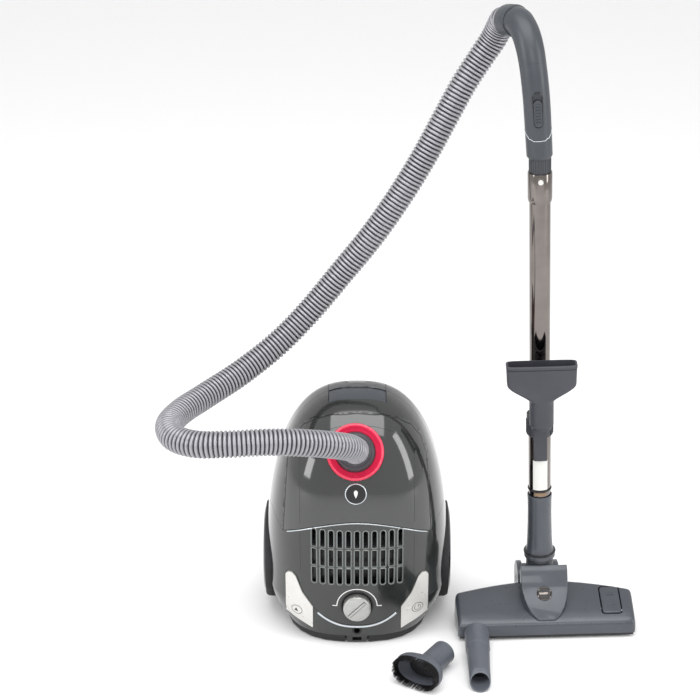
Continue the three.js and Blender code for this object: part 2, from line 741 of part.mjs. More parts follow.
function addMotor() {
  const top = PARTITION_Z - GAP;
  const bottom = top - MOTOR_HEIGHT;
  const chamber = top - 26;
  const housing = turned([
    [SHAFT_R + RUN, bottom], [MOTOR_R - 6, bottom], [MOTOR_R, bottom + 6], [MOTOR_R, top],
    [MOTOR_INLET_R, top], [MOTOR_INLET_R, top - WALL], [MOTOR_R - WALL, top - WALL],
    [MOTOR_R - WALL, chamber], [SHAFT_R + RUN, chamber], [SHAFT_R + RUN, bottom],
  ]);
  add('motor_housing', shifted(housing, 0, MOTOR_Y, 0), 'dark');
  let fan = rod(FAN_R, chamber + 2, chamber + 4, 32).add(rod(SHAFT_R, bottom - 8, chamber + 18, 16))
    .add(rod(10, chamber + 3, chamber + 16, 16));
  for (let k = 0; k < 7; k++) {
    const blade = box(6, FAN_R - 1, -0.8, 0.8, chamber + 3.5, chamber + 14);
    fan = fan.add(blade.rotate([0, 0, (k * 360) / 7]));
  }
  add('fan_impeller', shifted(fan, 0, MOTOR_Y, 0), 'silver');
  const grilleTop = GRILLE_BOTTOM + (SLOT_ROWS - 1) * SLOT_PITCH_Z + SLOT_HEIGHT;
  const half = ((SLOT_COLUMNS - 1) / 2) * SLOT_PITCH_X + 4;
  const face = Math.max(frontY(half, GRILLE_BOTTOM), frontY(half, grilleTop - 42)) + WALL + 1.5;
  add('exhaust_filter', box(-half, half, face, face + 12, GRILLE_BOTTOM - 3,
    PARTITION_Z - 3), 'paper');
}
addMotor();

function addReel() {
  const flange = 3;
  const drum = turned([
    [DRUM_POST_R + RUN, DRUM_BOTTOM], [DRUM_R, DRUM_BOTTOM], [DRUM_R, DRUM_BOTTOM + flange],
    [DRUM_HUB_R, DRUM_BOTTOM + flange], [DRUM_HUB_R, DRUM_TOP - flange],
    [DRUM_R, DRUM_TOP - flange], [DRUM_R, DRUM_TOP], [DRUM_POST_R + RUN, DRUM_TOP],
    [DRUM_POST_R + RUN, DRUM_BOTTOM],
  ], 24);
  add('cord_drum', shifted(drum, 0, MOTOR_Y, 0), 'dark');
  const plate = BODY_BOTTOM + WALL + GAP;
  const bracket = turned([
    [0, plate], [DRUM_R - 8, plate], [DRUM_R - 8, plate + 2.5], [DRUM_POST_R, plate + 2.5],
    [DRUM_POST_R, DRUM_TOP + 6], [0, DRUM_TOP + 6],
  ]);
  add('reel_bracket', shifted(bracket, 0, MOTOR_Y, 0), 'steel');
}
addReel();

function addBag() {
  const limit = casing(-WALL - BAG_SIDE_SPACE, BODY_BOTTOM);
  const place = along(INLET_AXIS, INLET);
  const collar = moved(box(-48, 48, -44, 44, -38, -34 - GAP).subtract(rod(HOSE_BORE + 2, -50, 0)), place);
  const inner = casing(-WALL - BAG_SIDE_SPACE - BAG_SKIN, BODY_BOTTOM);
  const slab = (skin) => box(-FAR, FAR, BODY_Y - 70 + skin, BODY_Y + BAG_HALF_DEPTH - skin,
    BAG_BOTTOM + skin, BAG_TOP - skin);
  const outerRoom = moved(box(-150, 150, -200, 200, -38 - GAP, 200), place);
  const innerRoom = moved(box(-150, 150, -200, 200, -38 - GAP - BAG_SKIN, 200), place);
  const bag = limit.intersect(slab(0)).subtract(outerRoom)
    .subtract(inner.intersect(slab(BAG_SKIN)).subtract(innerRoom))
    .subtract(moved(rod(HOSE_BORE + 2, -60, 0), place));
  add('dust_bag', bag, 'paper');
  add('bag_collar', collar, 'label');
}
addBag();

// ================================================================= wheels and castor

function addWheels() {
  for (const [word, side] of [['left', -1], ['right', 1]]) {
    const x0 = WHEEL_INNER_X;
    const x1 = WHEEL_INNER_X + WHEEL_WIDTH;
    const across = new THREE.Matrix4().makeRotationY((side * Math.PI) / 2);
    const place = (shape) => moved(shape, across).translate([0, WHEEL_Y, WHEEL_Z]);
    const hubR = WHEEL_R - TYRE_DEPTH;
    const hub = turned([
      [AXLE_R + RUN, x0 + 1], [16, x0 + 1], [20, x0 + 10], [hubR - 14, x0 + 10], [hubR - 10, x0],
      [hubR - 4, x0], [hubR, x0 + 3], [hubR, x1 - 4], [hubR - 6, x1 - 1],
      [hubR - 16, x1], [20, x1], [16, x1 - 3], [AXLE_R + RUN, x1 - 3], [AXLE_R + RUN, x0 + 1],
    ], WHEEL_SIDES);
    add(`wheel_${word}`, place(hub), 'navy');
    const tyreR = hubR + GAP;
    const tyre = turned([
      [tyreR, x0 + 3], [WHEEL_R - 2, x0 + 3], [WHEEL_R, x0 + 6], [WHEEL_R, x1 - 8],
      [WHEEL_R - 3, x1 - 4], [tyreR, x1 - 4], [tyreR, x0 + 3],
    ], WHEEL_SIDES);
    add(`tyre_${word}`, place(tyre), 'rubber');
  }
}
addWheels();

function addCastor() {
  const bossFace = CASTOR_REACH - 2 * CASTOR_R - 4;
  const plate = bossFace + GAP;
  const axisY = CASTOR_REACH - CASTOR_R;
  const trail = 5;
  const cheek = (x) => box(x - 1.5, x + 1.5, plate, axisY + 4, CASTOR_Z - trail - 6,
    CASTOR_Z - trail + 6);
  const cheekX = CASTOR_WIDTH / 2 + RUN + 1.5;
  const fork = rodY(CASTOR_BOSS_R - 6, plate, plate + 3, 0, CASTOR_Z, 24)
    .add(rodY(4, plate - 12, plate + 1, 0, CASTOR_Z, 16))
    .add(cheek(-cheekX)).add(cheek(cheekX))
    .subtract(rodX(2 + GAP, -30, 30, axisY, CASTOR_Z - trail, 12));
  add('castor_fork', fork, 'dark');
  const roller = CASTOR_WIDTH / 2;
  add('castor_wheel', rodX(CASTOR_R, -roller, roller, axisY, CASTOR_Z - trail, 24)
    .add(rodX(2, -roller - 3, roller + 3, axisY, CASTOR_Z - trail, 12)), 'rubber');
}
addCastor();

// ================================================================= hose

const HOSE_ROUTE = [
  [-3, -127.7, 343.4], [-3, -136, 348.1], [-11, -155, 362], [-38, -184, 381], [-82, -207, 396],
  [-132, -220, 403], [-184, -226, 403], [-230, -218, 399], [-262, -192, 396], [-273, -154, 396],
  [-260, -112, 397], [-226, -66, 402], [-172, -18, 420], [-118, 15, 453], [-71, 37, 496],
  [-26, 50, 549], [22, 58, 609], [63, 66, 669], [98, 75, 727], [130, 84, 787], [157, 92, 837],
  [181, 99, 874], [198, 100, 901], [206, 94, 921], [210.2, 85.3, 932.9], [213.7, 77.6, 935.2],
];

const GRIP_PATH = [
  [262.6, -2, 756], [259, -2, 800], [255, -1, 845], [250, 3, 884], [245, 11, 912],
  [239, 24, 931], [232, 39, 941], [227, 49, 942.5],
];
const curveThrough = (points) => new THREE.CatmullRomCurve3(
  points.map(([x, y, z]) => new THREE.Vector3(x, y, z)), false, 'centripetal');

// The hose is a tube, open at both ends; its bore runs a little past the ends of its route.
function addHose() {
  const route = curveThrough(HOSE_ROUTE);
  const longer = HOSE_ROUTE.slice();
  const beyond = (from, to) => to.map((v, k) => v + (v - from[k]) * 0.2);
  longer.unshift(beyond(HOSE_ROUTE[1], HOSE_ROUTE[0]));
  longer.push(beyond(HOSE_ROUTE.at(-2), HOSE_ROUTE.at(-1)));
  const bore = bar(curveThrough(longer), HOSE_BORE, 64, 6);
  add('hose', bar(route, HOSE_R, 64, 8).subtract(bore), 'hose', vacuum);
}
addHose();

// ================================================================= grip and cuff

const CUFF_AXIS = new THREE.Vector3(-0.4, 0.86, -0.22).normalize();
const gripCurve = curveThrough(GRIP_PATH);
const gripEnd = gripCurve.getPoint(1);
const cuffStart = gripEnd.clone().addScaledVector(CUFF_AXIS, GAP + 1);

function addGrip() {
  const outside = bar(gripCurve, GRIP_R, 10, 14);
  const mouth = moved(rod(GRIP_END_R, -9, 1, 20), along(CUFF_AXIS, gripEnd));
  const bore = bar(gripCurve, GRIP_BORE, 10, 8);
  const mouthBore = moved(rod(GRIP_BORE + 0.6, -12, 4, 20), along(CUFF_AXIS, gripEnd));
  const at = gripCurve.getPoint(SLIDER_PLACE);
  const lean = new THREE.Matrix4().makeRotationY(-4.5 * DEG);
  const frontFace = -GRIP_R;
  const half = SLIDER_LENGTH / 2 + RUN;
  const recess = box(-SLIDER_WIDTH / 2 - RUN, SLIDER_WIDTH / 2 + RUN, frontFace - 6, frontFace + 3.5,
    -half, half + SLIDER_TRAVEL);
  const place = (shape) => moved(shape, lean).translate([at.x, at.y, at.z]);
  const endCut = moved(rod(FAR / 4, 1, 60, 8), along(CUFF_AXIS, gripEnd));
  const wandFrame = new THREE.Matrix4().makeRotationY(-WAND_LEAN * DEG).setPosition(WAND_FOOT);
  const spigot = moved(pipe(UPPER_R, GRIP_BORE - 1.2, BELL_BOTTOM + 13, SPIGOT_TOP + 6)
    .subtract(rodY(BUTTON_R + RUN, -FAR, -8, 0, BUTTON_Z, 16)), wandFrame);
  const handle = outside.add(mouth).subtract(bore).subtract(mouthBore).subtract(place(recess))
    .subtract(endCut).add(spigot);
  add('grip', handle, 'grip', vacuum);
  let slider = box(-SLIDER_WIDTH / 2, SLIDER_WIDTH / 2, frontFace + 3.5 - GAP - SLIDER_THICK,
    frontFace + 3.5 - GAP, -SLIDER_LENGTH / 2, SLIDER_LENGTH / 2);
  for (let k = -3; k <= 3; k++) {
    slider = slider.add(box(-SLIDER_WIDTH / 2 + 1, SLIDER_WIDTH / 2 - 1, frontFace - 3.2,
      frontFace - 1, k * 4.5 - 1, k * 4.5 + 1));
  }
  add('air_slider', place(slider), 'dark', vacuum);
  const cuff = turned([
    [HOSE_BORE, 0], [CUFF_R - 1.5, 0], [CUFF_R, 2], [CUFF_R, CUFF_LENGTH - 6],
    [CUFF_R - 2.5, CUFF_LENGTH], [HOSE_BORE, CUFF_LENGTH], [HOSE_BORE, 0],
  ], 24);
  add('hose_cuff', moved(cuff, along(CUFF_AXIS, cuffStart)), 'grip', vacuum);
}
addGrip();

// ================================================================= wand

function addLowerWand() {
  const neck = turned([
    [LOWER_R + RUN, NECK_BOTTOM + 16], [LOWER_R + RUN, NECK_TOP - 6], [NECK_R, NECK_TOP],
    [NECK_R, NECK_BOTTOM + 12], [ELBOW_R + 3, NECK_BOTTOM + 7], [ELBOW_R + 3, NECK_BOTTOM],
    [LOWER_R - 4, NECK_BOTTOM], [LOWER_R - 4, NECK_BOTTOM + 16], [LOWER_R + RUN, NECK_BOTTOM + 16],
  ]);
  add('head_neck', neck, 'head', wand);
  add('lower_tube', pipe(LOWER_R, LOWER_R - TUBE_WALL, LOWER_BOTTOM, COLLAR_BOTTOM + 9), 'chrome', wand);
  const collar = turned([
    [LOWER_R + GAP, COLLAR_BOTTOM], [COLLAR_R, COLLAR_BOTTOM + 2], [COLLAR_R, COLLAR_TOP - 1],
    [UPPER_R + GAP, COLLAR_TOP], [UPPER_R + GAP, COLLAR_BOTTOM + 10],
    [LOWER_R + GAP, COLLAR_BOTTOM + 10], [LOWER_R + GAP, COLLAR_BOTTOM],
  ]);
  const keyRoom = box(-KEY_WIDTH / 2 - RUN, KEY_WIDTH / 2 + RUN, -FAR, -COLLAR_R + 2.6,
    COLLAR_BOTTOM - 1, KEY_TOP + 8);
  add('tube_lock', collar.subtract(keyRoom), 'nozzle', wand);
  add('lock_key', box(-KEY_WIDTH / 2, KEY_WIDTH / 2, -COLLAR_R - KEY_THICK + 2.3, -COLLAR_R + 2.3,
    KEY_BOTTOM, KEY_TOP), 'nozzle', wand);
  const clipBottom = COLLAR_TOP + GAP;
  const clip = pipe(COLLAR_R, UPPER_R + RUN, clipBottom, clipBottom + CLIP_THICK)
    .add(box(-9, 9, -CLIP_OFFSET, -UPPER_R - 2, clipBottom, clipBottom + CLIP_THICK))
    .add(rod(POST_R, clipBottom, clipBottom + 44, 24).translate([0, -CLIP_OFFSET, 0]));
  add('tool_clip', clip, 'nozzle', wand);
}
addLowerWand();

function addUpperWand() {
  const tube = pipe(UPPER_R, UPPER_R - TUBE_WALL, UPPER_BOTTOM, BELL_BOTTOM + 12);
  add('upper_tube', tube, 'chrome', wand);
  const hole = rodY(BUTTON_R + RUN, -FAR, -8, 0, BUTTON_Z, 16);
  const bell = turned([
    [UPPER_R + GAP, BELL_BOTTOM], [BELL_R - 1, BELL_BOTTOM], [BELL_R, BELL_BOTTOM + 2],
    [BELL_R, BELL_TOP], [UPPER_R + GAP, BELL_TOP], [UPPER_R + GAP, BELL_BOTTOM],
  ]);
  add('wand_bell', bell.subtract(hole), 'dark', wand);
  add('snap_button', rodY(BUTTON_R, -BELL_R - 1.5, -UPPER_R + 4, 0, BUTTON_Z, 16), 'label', wand);
}
addUpperWand();

function addNozzle() {
  const neckBottom = COLLAR_TOP + GAP + CLIP_THICK + GAP;
  const neckTop = neckBottom + 38;
  const widest = neckTop + 30;
  const top = neckBottom + NOZZLE_LENGTH;
  const oval = (halfX, halfY, z, shift = 0, power = 2) => {
    const points = [];
    for (let k = 0; k < 18; k++) {
      const angle = (2 * Math.PI * k) / 18;
      const c = Math.cos(angle);
      const s = Math.sin(angle);
      points.push(new THREE.Vector3(
        halfX * Math.sign(c) * Math.abs(c) ** (2 / power),
        -CLIP_OFFSET + shift + halfY * Math.sign(s) * Math.abs(s) ** (2 / power), z));
    }
    return points;
  };
  const half = NOZZLE_WIDTH / 2;
  const thick = NOZZLE_THICK / 2;
  const R = NOZZLE_NECK_R;
  const wall = 2.5;
  const skin = loft([
    oval(R, R, neckBottom), oval(R, R, neckTop), oval(R + 8, R - 2, neckTop + 12, 0, 2.5),
    oval(half - 8, thick + 2, widest - 6, 0, 4), oval(half, thick + 1, widest, 0, 6),
    oval(half, thick, top - 10, 0, 6), oval(half + 1, thick, top, 0, 6),
  ]);
  const hollow = loft([
    oval(NOZZLE_BORE, NOZZLE_BORE, neckBottom - 1), oval(NOZZLE_BORE, NOZZLE_BORE, neckTop),
    oval(R + 8 - wall, R - 2 - wall, neckTop + 12, 0, 2.5),
    oval(half - 8 - wall, thick + 2 - wall, widest - 6, 0, 4),
    oval(half - wall, thick - wall, widest, 0, 6), oval(half - wall, thick - wall, top + 1, 0, 6),
  ]);
  add('upholstery_nozzle', skin.subtract(hollow), 'nozzle', wand);
}
addNozzle();

// ================================================================= floor head

// The head's cross section at x, front at -Y; `inset` makes the inside.
function headSection(x, inset) {
  const share = Math.abs(x) / HEAD_HALF_WIDTH;
  const half = HEAD_DEPTH / 2 - inset;
  const backZ = HEAD_BACK_HEIGHT - HEAD_END_DROP * share ** 2 - inset;
  const ridgeZ = HEAD_FRONT_HEIGHT - inset;
  const sweep = -22 * share ** 1.5; // the back edge comes forward to the ends
  const bottom = inset > 0 ? -5 : SOLE_BOTTOM + SOLE_THICK + GAP;
  return [
    [-half, bottom], [half - 2 + sweep, bottom], [half + sweep, bottom + 6],
    [half - 1 + sweep, backZ - 8], [half - 8 + sweep, backZ], [-half + 20, ridgeZ + 9],
    [-half + 5, ridgeZ + 1], [-half + 1, ridgeZ - 3],
  ].map(([y, z]) => new THREE.Vector3(x, y, z));
}

function headBody(inset) {
  const end = HEAD_HALF_WIDTH - inset;
  const rings = [-1, -0.97, -0.7, -0.4, 0, 0.4, 0.7, 0.97, 1].map((t) => headSection(t * end, inset));
  return loft(rings);
}

// Height of the head's sloping top at y.
function headTop(y) {
  const y0 = -HEAD_DEPTH / 2 + 20;
  const y1 = HEAD_DEPTH / 2 - 8;
  const z0 = HEAD_FRONT_HEIGHT + 9;
  return z0 + ((HEAD_BACK_HEIGHT - z0) * (y - y0)) / (y1 - y0);
}
const TOP_SLOPE = Math.atan2(HEAD_BACK_HEIGHT - HEAD_FRONT_HEIGHT - 9, HEAD_DEPTH - 28);

const rockerY = -4;
const rockerFrame = new THREE.Matrix4().makeRotationX(TOP_SLOPE)
  .setPosition(ROCKER_X, rockerY, headTop(rockerY) - HEAD_END_DROP * (ROCKER_X / HEAD_HALF_WIDTH) ** 2);

function addHead() {
  const elbowX = (WAND_FOOT.x - HEAD_X);
  const earX = BARREL_HALF + RUN;
  const ears = rodX(EAR_R, elbowX - earX - EAR_THICK, elbowX - earX, TILT_Y, TILT_Z, 28)
    .add(rodX(EAR_R, elbowX + earX, elbowX + earX + EAR_THICK, TILT_Y, TILT_Z, 28));
  const arm = (x) => box(x, x + EAR_THICK, 24, TILT_Y, TILT_Z - 24, TILT_Z + 6);
  const arms = arm(elbowX - earX - EAR_THICK).add(arm(elbowX + earX));
  const notch = box(elbowX - earX, elbowX + earX, HEAD_DEPTH / 2 - 32, FAR, -10, FAR);
  const pinHole = rodX(5 + GAP, elbowX - 60, elbowX + 60, TILT_Y, TILT_Z, 16);
  const rockerHole = moved(box(-ROCKER_WIDTH / 2 - 1, ROCKER_WIDTH / 2 + 1, -ROCKER_LENGTH / 2 - 1,
    ROCKER_LENGTH / 2 + 1, -14, 20), rockerFrame);
  const floor = box(-FAR, FAR, -FAR, FAR, -20, SOLE_BOTTOM + SOLE_THICK + GAP);
  const skin = headBody(0).subtract(headBody(HEAD_WALL)).subtract(floor);
  add('head_shell', skin.subtract(notch.subtract(floor)).add(ears.add(arms)).subtract(pinHole)
    .subtract(rockerHole), 'head', head);

  const cover = prismYZ([
    [-HEAD_DEPTH / 2 + 5, HEAD_FRONT_HEIGHT + 2.2], [-HEAD_DEPTH / 2 + 6, HEAD_FRONT_HEIGHT + 5],
    [-20, headTop(-20) + 13], [0, headTop(0) + 22], [12, COVER_TOP - 6], [20, COVER_TOP],
    [22, COVER_TOP - 3], [22, headTop(22) + 0.5], [-26, headTop(-26) + 0.6],
  ], -FAR, FAR);
  const shield = [];
  for (let k = 0; k <= 14; k++) {
    const angle = Math.PI + (Math.PI * k) / 14;
    shield.push([COVER_HALF * Math.cos(angle), 6 + (HEAD_DEPTH / 2 - 2 + 6) * Math.sin(angle)]);
  }
  const plan = [[-COVER_HALF, 22], ...shield, [COVER_HALF, 22]];
  const wandRoom = rod(ELBOW_R + 2, 0, FAR).translate([elbowX, WAND_FOOT.y - HEAD_Y, 0]);
  add('head_cover', cover.intersect(prismXY(plan, 0, FAR)).subtract(headBody(-GAP).subtract(floor))
    .subtract(wandRoom), 'head', head);

  const soleHalf = HEAD_HALF_WIDTH - 3;
  const sole = prismXY([
    [-soleHalf, -HEAD_DEPTH / 2 + 2], [soleHalf, -HEAD_DEPTH / 2 + 2],
    [soleHalf, HEAD_DEPTH / 2 - 26], [40, HEAD_DEPTH / 2 - 4], [-40, HEAD_DEPTH / 2 - 4],
    [-soleHalf, HEAD_DEPTH / 2 - 26],
  ], SOLE_BOTTOM, SOLE_BOTTOM + SOLE_THICK)
    .subtract(box(-BRUSH_HALF - 1, BRUSH_HALF + 1, BRUSH_Y - BRUSH_THICK / 2 - 1,
      BRUSH_Y + BRUSH_THICK / 2 + 1, 0, 20))
    .subtract(box(-100, 100, -22, -6, 0, 20))
    .subtract(notch);
  const pockets = [-1, 1].map((side) => box(side * ROLLER_X - ROLLER_WIDTH / 2 - 2,
    side * ROLLER_X + ROLLER_WIDTH / 2 + 2, ROLLER_Y - ROLLER_R - 3, FAR, 0, 20));
  add('head_sole', sole.subtract(pockets[0]).subtract(pockets[1]), 'black', head);

  add('brush_strip', box(-BRUSH_HALF, BRUSH_HALF, BRUSH_Y - BRUSH_THICK / 2,
    BRUSH_Y + BRUSH_THICK / 2, 0, BRUSH_TOP), 'bristle', head);
  const rocker = moved(box(-ROCKER_WIDTH / 2, ROCKER_WIDTH / 2, -ROCKER_LENGTH / 2,
    ROCKER_LENGTH / 2, -ROCKER_THICK + 5, 5), rockerFrame);
  add('foot_rocker', rocker, 'head', head);
  for (const [word, side] of [['left', -1], ['right', 1]]) {
    const x = side * ROLLER_X;
    add(`head_roller_${word}`, rodX(ROLLER_R, x - ROLLER_WIDTH / 2, x + ROLLER_WIDTH / 2,
      ROLLER_Y, ROLLER_R, 24), 'rubber', head);
  }
  return elbowX;
}
const elbowX = addHead();

function addElbow() {
  const toHead = new THREE.Matrix4().makeRotationZ(HEAD_YAW * DEG).setPosition(HEAD_X, HEAD_Y, 0);
  const wandFrame = new THREE.Matrix4().makeRotationY(-WAND_LEAN * DEG).setPosition(WAND_FOOT);
  const barrel = moved(rodX(BARREL_R, elbowX - BARREL_HALF, elbowX + BARREL_HALF, TILT_Y, TILT_Z)
    .add(rodX(5, elbowX - BARREL_HALF - EAR_THICK, elbowX + BARREL_HALF + EAR_THICK, TILT_Y,
      TILT_Z, 16)), toHead);
  const upright = moved(rod(ELBOW_R, -16, NECK_BOTTOM - GAP), wandFrame);
  const bore = moved(rod(LOWER_R - 4, -6, FAR), wandFrame);
  add('head_elbow', barrel.add(upright).subtract(bore), 'dark', vacuum);
}
addElbow();

// ================================================================= loose tools

function addCreviceTool() {
  const ringAt = (y, halfX, halfZ, z, slant = 0) => {
    const points = [];
    for (let k = 0; k < 18; k++) {
      const angle = (2 * Math.PI * k) / 18;
      const rise = halfZ * Math.sin(angle);
      points.push(new THREE.Vector3(CREVICE.x + halfX * Math.cos(angle),
        CREVICE.y - y + slant * rise, z + rise));
    }
    return points;
  };
  const R = CREVICE_R;
  const z = CREVICE.z;
  const tip = CREVICE_LENGTH;
  const skin = loft([
    ringAt(0, R, R, z), ringAt(CREVICE_STEP, R, R, z), ringAt(CREVICE_STEP + 2, R - 1.2, R - 1.2, z),
    ringAt(tip - 24, R - 2.4, R - 5, R - 4.7, 0), ringAt(tip - 9, R - 2.8, R - 7, R - 6.7, 1),
  ]);
  const wall = 2.2;
  const hollow = loft([
    ringAt(-1, R - wall, R - wall, z), ringAt(CREVICE_STEP, R - wall, R - wall, z),
    ringAt(tip - 24, R - 2.4 - wall, R - 5 - wall, R - 4.7, 0),
    ringAt(tip - 8, R - 2.8 - wall, R - 7 - wall, R - 6.7, 1),
  ]);
  add('crevice_tool', skin.subtract(hollow), 'tool', vacuum);
}
addCreviceTool();

function addDustingBrush() {
  const place = new THREE.Matrix4().makeRotationZ(BRUSH_TOOL_TURN * DEG).setPosition(BRUSH_TOOL);
  const ringAt = (y, halfX, halfZ, drop, power = 2) => {
    const points = [];
    for (let k = 0; k < 20; k++) {
      const angle = (2 * Math.PI * k) / 20;
      const c = Math.cos(angle);
      const s = Math.sin(angle);
      points.push(new THREE.Vector3(halfX * Math.sign(c) * Math.abs(c) ** (2 / power), y,
        halfZ * Math.sign(s) * Math.abs(s) ** (2 / power) - drop));
    }
    return points;
  };
  const a = BRUSH_TOOL_HALF_WIDTH;
  const b = BRUSH_TOOL_HALF_HEIGHT;
  const R = BRUSH_TOOL_NECK_R;
  const drop = BRUSH_TOOL.z - R - GAP;
  const length = BRUSH_TOOL_LENGTH;
  const wall = 2.4;
  const skin = loft([
    ringAt(0, a, b, 0, 2.6), ringAt(8, a, b, 0, 2.6), ringAt(20, a - 8, b - 3, drop * 0.4, 2.3),
    ringAt(32, R, R, drop), ringAt(length, R, R, drop),
  ]);
  const hollow = loft([
    ringAt(-1, a - 7, b - 7, 0, 2.6), ringAt(8, a - 7, b - 7, 0, 2.6),
    ringAt(32, R - wall, R - wall, drop), ringAt(length + 1, R - wall, R - wall, drop),
  ]);
  add('dusting_brush', moved(skin.subtract(hollow), place), 'tool', vacuum);
  const tuft = loft([ringAt(-BRISTLE_LENGTH, a - 1, b, 0, 2.6), ringAt(-GAP, a - 2, b - 2, 0, 2.6)])
    .subtract(loft([ringAt(-BRISTLE_LENGTH - 1, a - 7, b - 7, 0, 2.6),
      ringAt(0, a - 7, b - 7, 0, 2.6)]));
  add('brush_bristles', moved(tuft, place), 'bristle', vacuum);
}
addDustingBrush();

export default vacuum;
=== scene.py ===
"""Canister vacuum cleaner, parked upright, with its hose, wand, floor head and loose tools."""
import json
import math

import bmesh
import bpy
from mathutils import Matrix, Vector


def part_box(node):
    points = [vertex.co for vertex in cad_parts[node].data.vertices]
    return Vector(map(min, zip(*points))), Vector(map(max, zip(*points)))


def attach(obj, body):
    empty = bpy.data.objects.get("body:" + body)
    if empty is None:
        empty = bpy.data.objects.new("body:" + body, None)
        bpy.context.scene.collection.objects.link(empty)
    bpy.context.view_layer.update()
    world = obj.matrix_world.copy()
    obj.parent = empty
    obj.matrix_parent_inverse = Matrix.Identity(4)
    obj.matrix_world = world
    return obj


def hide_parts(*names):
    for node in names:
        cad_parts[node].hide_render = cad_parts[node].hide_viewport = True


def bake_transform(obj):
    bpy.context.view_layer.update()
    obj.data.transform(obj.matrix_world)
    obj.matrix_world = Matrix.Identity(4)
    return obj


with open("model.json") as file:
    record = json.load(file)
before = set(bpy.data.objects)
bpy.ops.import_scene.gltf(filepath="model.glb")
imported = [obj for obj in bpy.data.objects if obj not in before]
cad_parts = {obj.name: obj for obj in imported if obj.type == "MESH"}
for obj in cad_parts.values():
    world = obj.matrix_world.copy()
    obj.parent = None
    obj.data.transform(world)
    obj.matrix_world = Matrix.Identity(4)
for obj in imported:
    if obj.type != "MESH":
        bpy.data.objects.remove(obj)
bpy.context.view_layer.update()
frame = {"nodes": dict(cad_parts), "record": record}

MM = 0.001
NODES = frame["nodes"]
SLOT_OF = {row["node"]: row["material_slot"] for row in frame["record"]["subparts"]}
GROUPS = frame["record"]["behaviour"]["bodies"]
BODY_OF = {node: body for body, nodes in GROUPS.items() for node in nodes}

# ------------------------------------------------------------------ sizes, in millimetres

# the canister's casing, as the frame was designed
BODY_HEIGHT, BODY_HALF_WIDTH, BODY_FRONT, BODY_BACK = 382, 139, 138, 84
BODY_Y, BODY_BOTTOM, BODY_ROUNDNESS = 20, 15, 2.6

# hose inlet
INLET = Vector((-3, -88, 321))
INLET_AXIS = Vector((0, -0.87, 0.49)).normalized()
CONNECTOR_TIP = 45

# hose
HOSE_R, HOSE_BORE, RIB_PITCH = 20, 16.5, 6.2
HOSE_ROUTE = [
    (-3, -127.7, 343.4), (-3, -136, 348.1), (-11, -155, 362), (-38, -184, 381), (-82, -207, 396),
    (-132, -220, 403), (-184, -226, 403), (-230, -218, 399), (-262, -192, 396), (-273, -154, 396),
    (-260, -112, 397), (-226, -66, 402), (-172, -18, 420), (-118, 15, 453), (-71, 37, 496),
    (-26, 50, 549), (22, 58, 609), (63, 66, 669), (98, 75, 727), (130, 84, 787), (157, 92, 837),
    (181, 99, 874), (198, 100, 901), (206, 94, 921), (210.2, 85.3, 932.9), (213.7, 77.6, 935.2),
]

# wand and grip
WAND_FOOT = Vector((285, -2, 60))
WAND_LEAN = math.radians(1.8)
WAND_FRAME = Matrix.Translation(WAND_FOOT) @ Matrix.Rotation(-WAND_LEAN, 4, "Y")
GRIP_PATH = [
    (262.6, -2, 756), (259, -2, 800), (255, -1, 845), (250, 3, 884), (245, 11, 912),
    (239, 24, 931), (232, 39, 941), (227, 49, 942.5),
]
CUFF_AXIS = Vector((-0.4, 0.86, -0.22)).normalized()
GRIP_R = 19

SLIDE_LOW, SLIDE_HIGH = -21, 31 # ends of the air slider's recess, from its middle

# floor head
HEAD_FRAME = Matrix.Translation((290, -45, 0)) @ Matrix.Rotation(math.radians(3), 4, "Z")

# camera, as seen by a person standing before the parked canister
CAMERA_DOWN, CAMERA_TURN = math.radians(24.4), math.radians(-0.17)
CAMERA_LENS, SENSOR = 123.43, 36


# ------------------------------------------------------------------ camera, floor and light

def set_camera():
    data = bpy.data.cameras.new("camera")
    data.lens = CAMERA_LENS
    data.sensor_width = SENSOR
    data.clip_end = 50
    camera = bpy.data.objects.new("camera", data)
    bpy.context.scene.collection.objects.link(camera)
    camera.rotation_euler = (math.pi / 2 - CAMERA_DOWN, 0, -CAMERA_TURN)
    camera.location = Vector((-1.3, -3271.3, 1931.5)) * MM
    bpy.context.scene.camera = camera


def set_floor():
    bpy.ops.mesh.primitive_plane_add(size=9, location=(0, 0.6, -0.0004))
    floor = bpy.context.object
    floor.name = "studio_floor"
    bpy.ops.object.mode_set(mode="EDIT")
    bpy.ops.mesh.select_mode(type="EDGE")
    bpy.ops.mesh.select_all(action="DESELECT")
    bpy.ops.object.mode_set(mode="OBJECT")
    for edge in floor.data.edges:
        a, b = (floor.data.vertices[i].co.y for i in edge.vertices)
        edge.select = a > 1 and b > 1
    bpy.ops.object.mode_set(mode="EDIT")
    bpy.ops.mesh.extrude_region_move(TRANSFORM_OT_translate={"value": (0, 0, 5)})
    bpy.ops.object.mode_set(mode="OBJECT")
    bend = floor.modifiers.new("bend", "BEVEL")
    bend.width = 1.6
    bend.segments = 24
    bend.limit_method = "ANGLE"
    bpy.ops.object.modifier_apply(modifier=bend.name)
    bpy.ops.object.shade_smooth()
    floor.data.materials.append(plain("studio_paper", (0.97, 0.97, 0.97), 0.8))


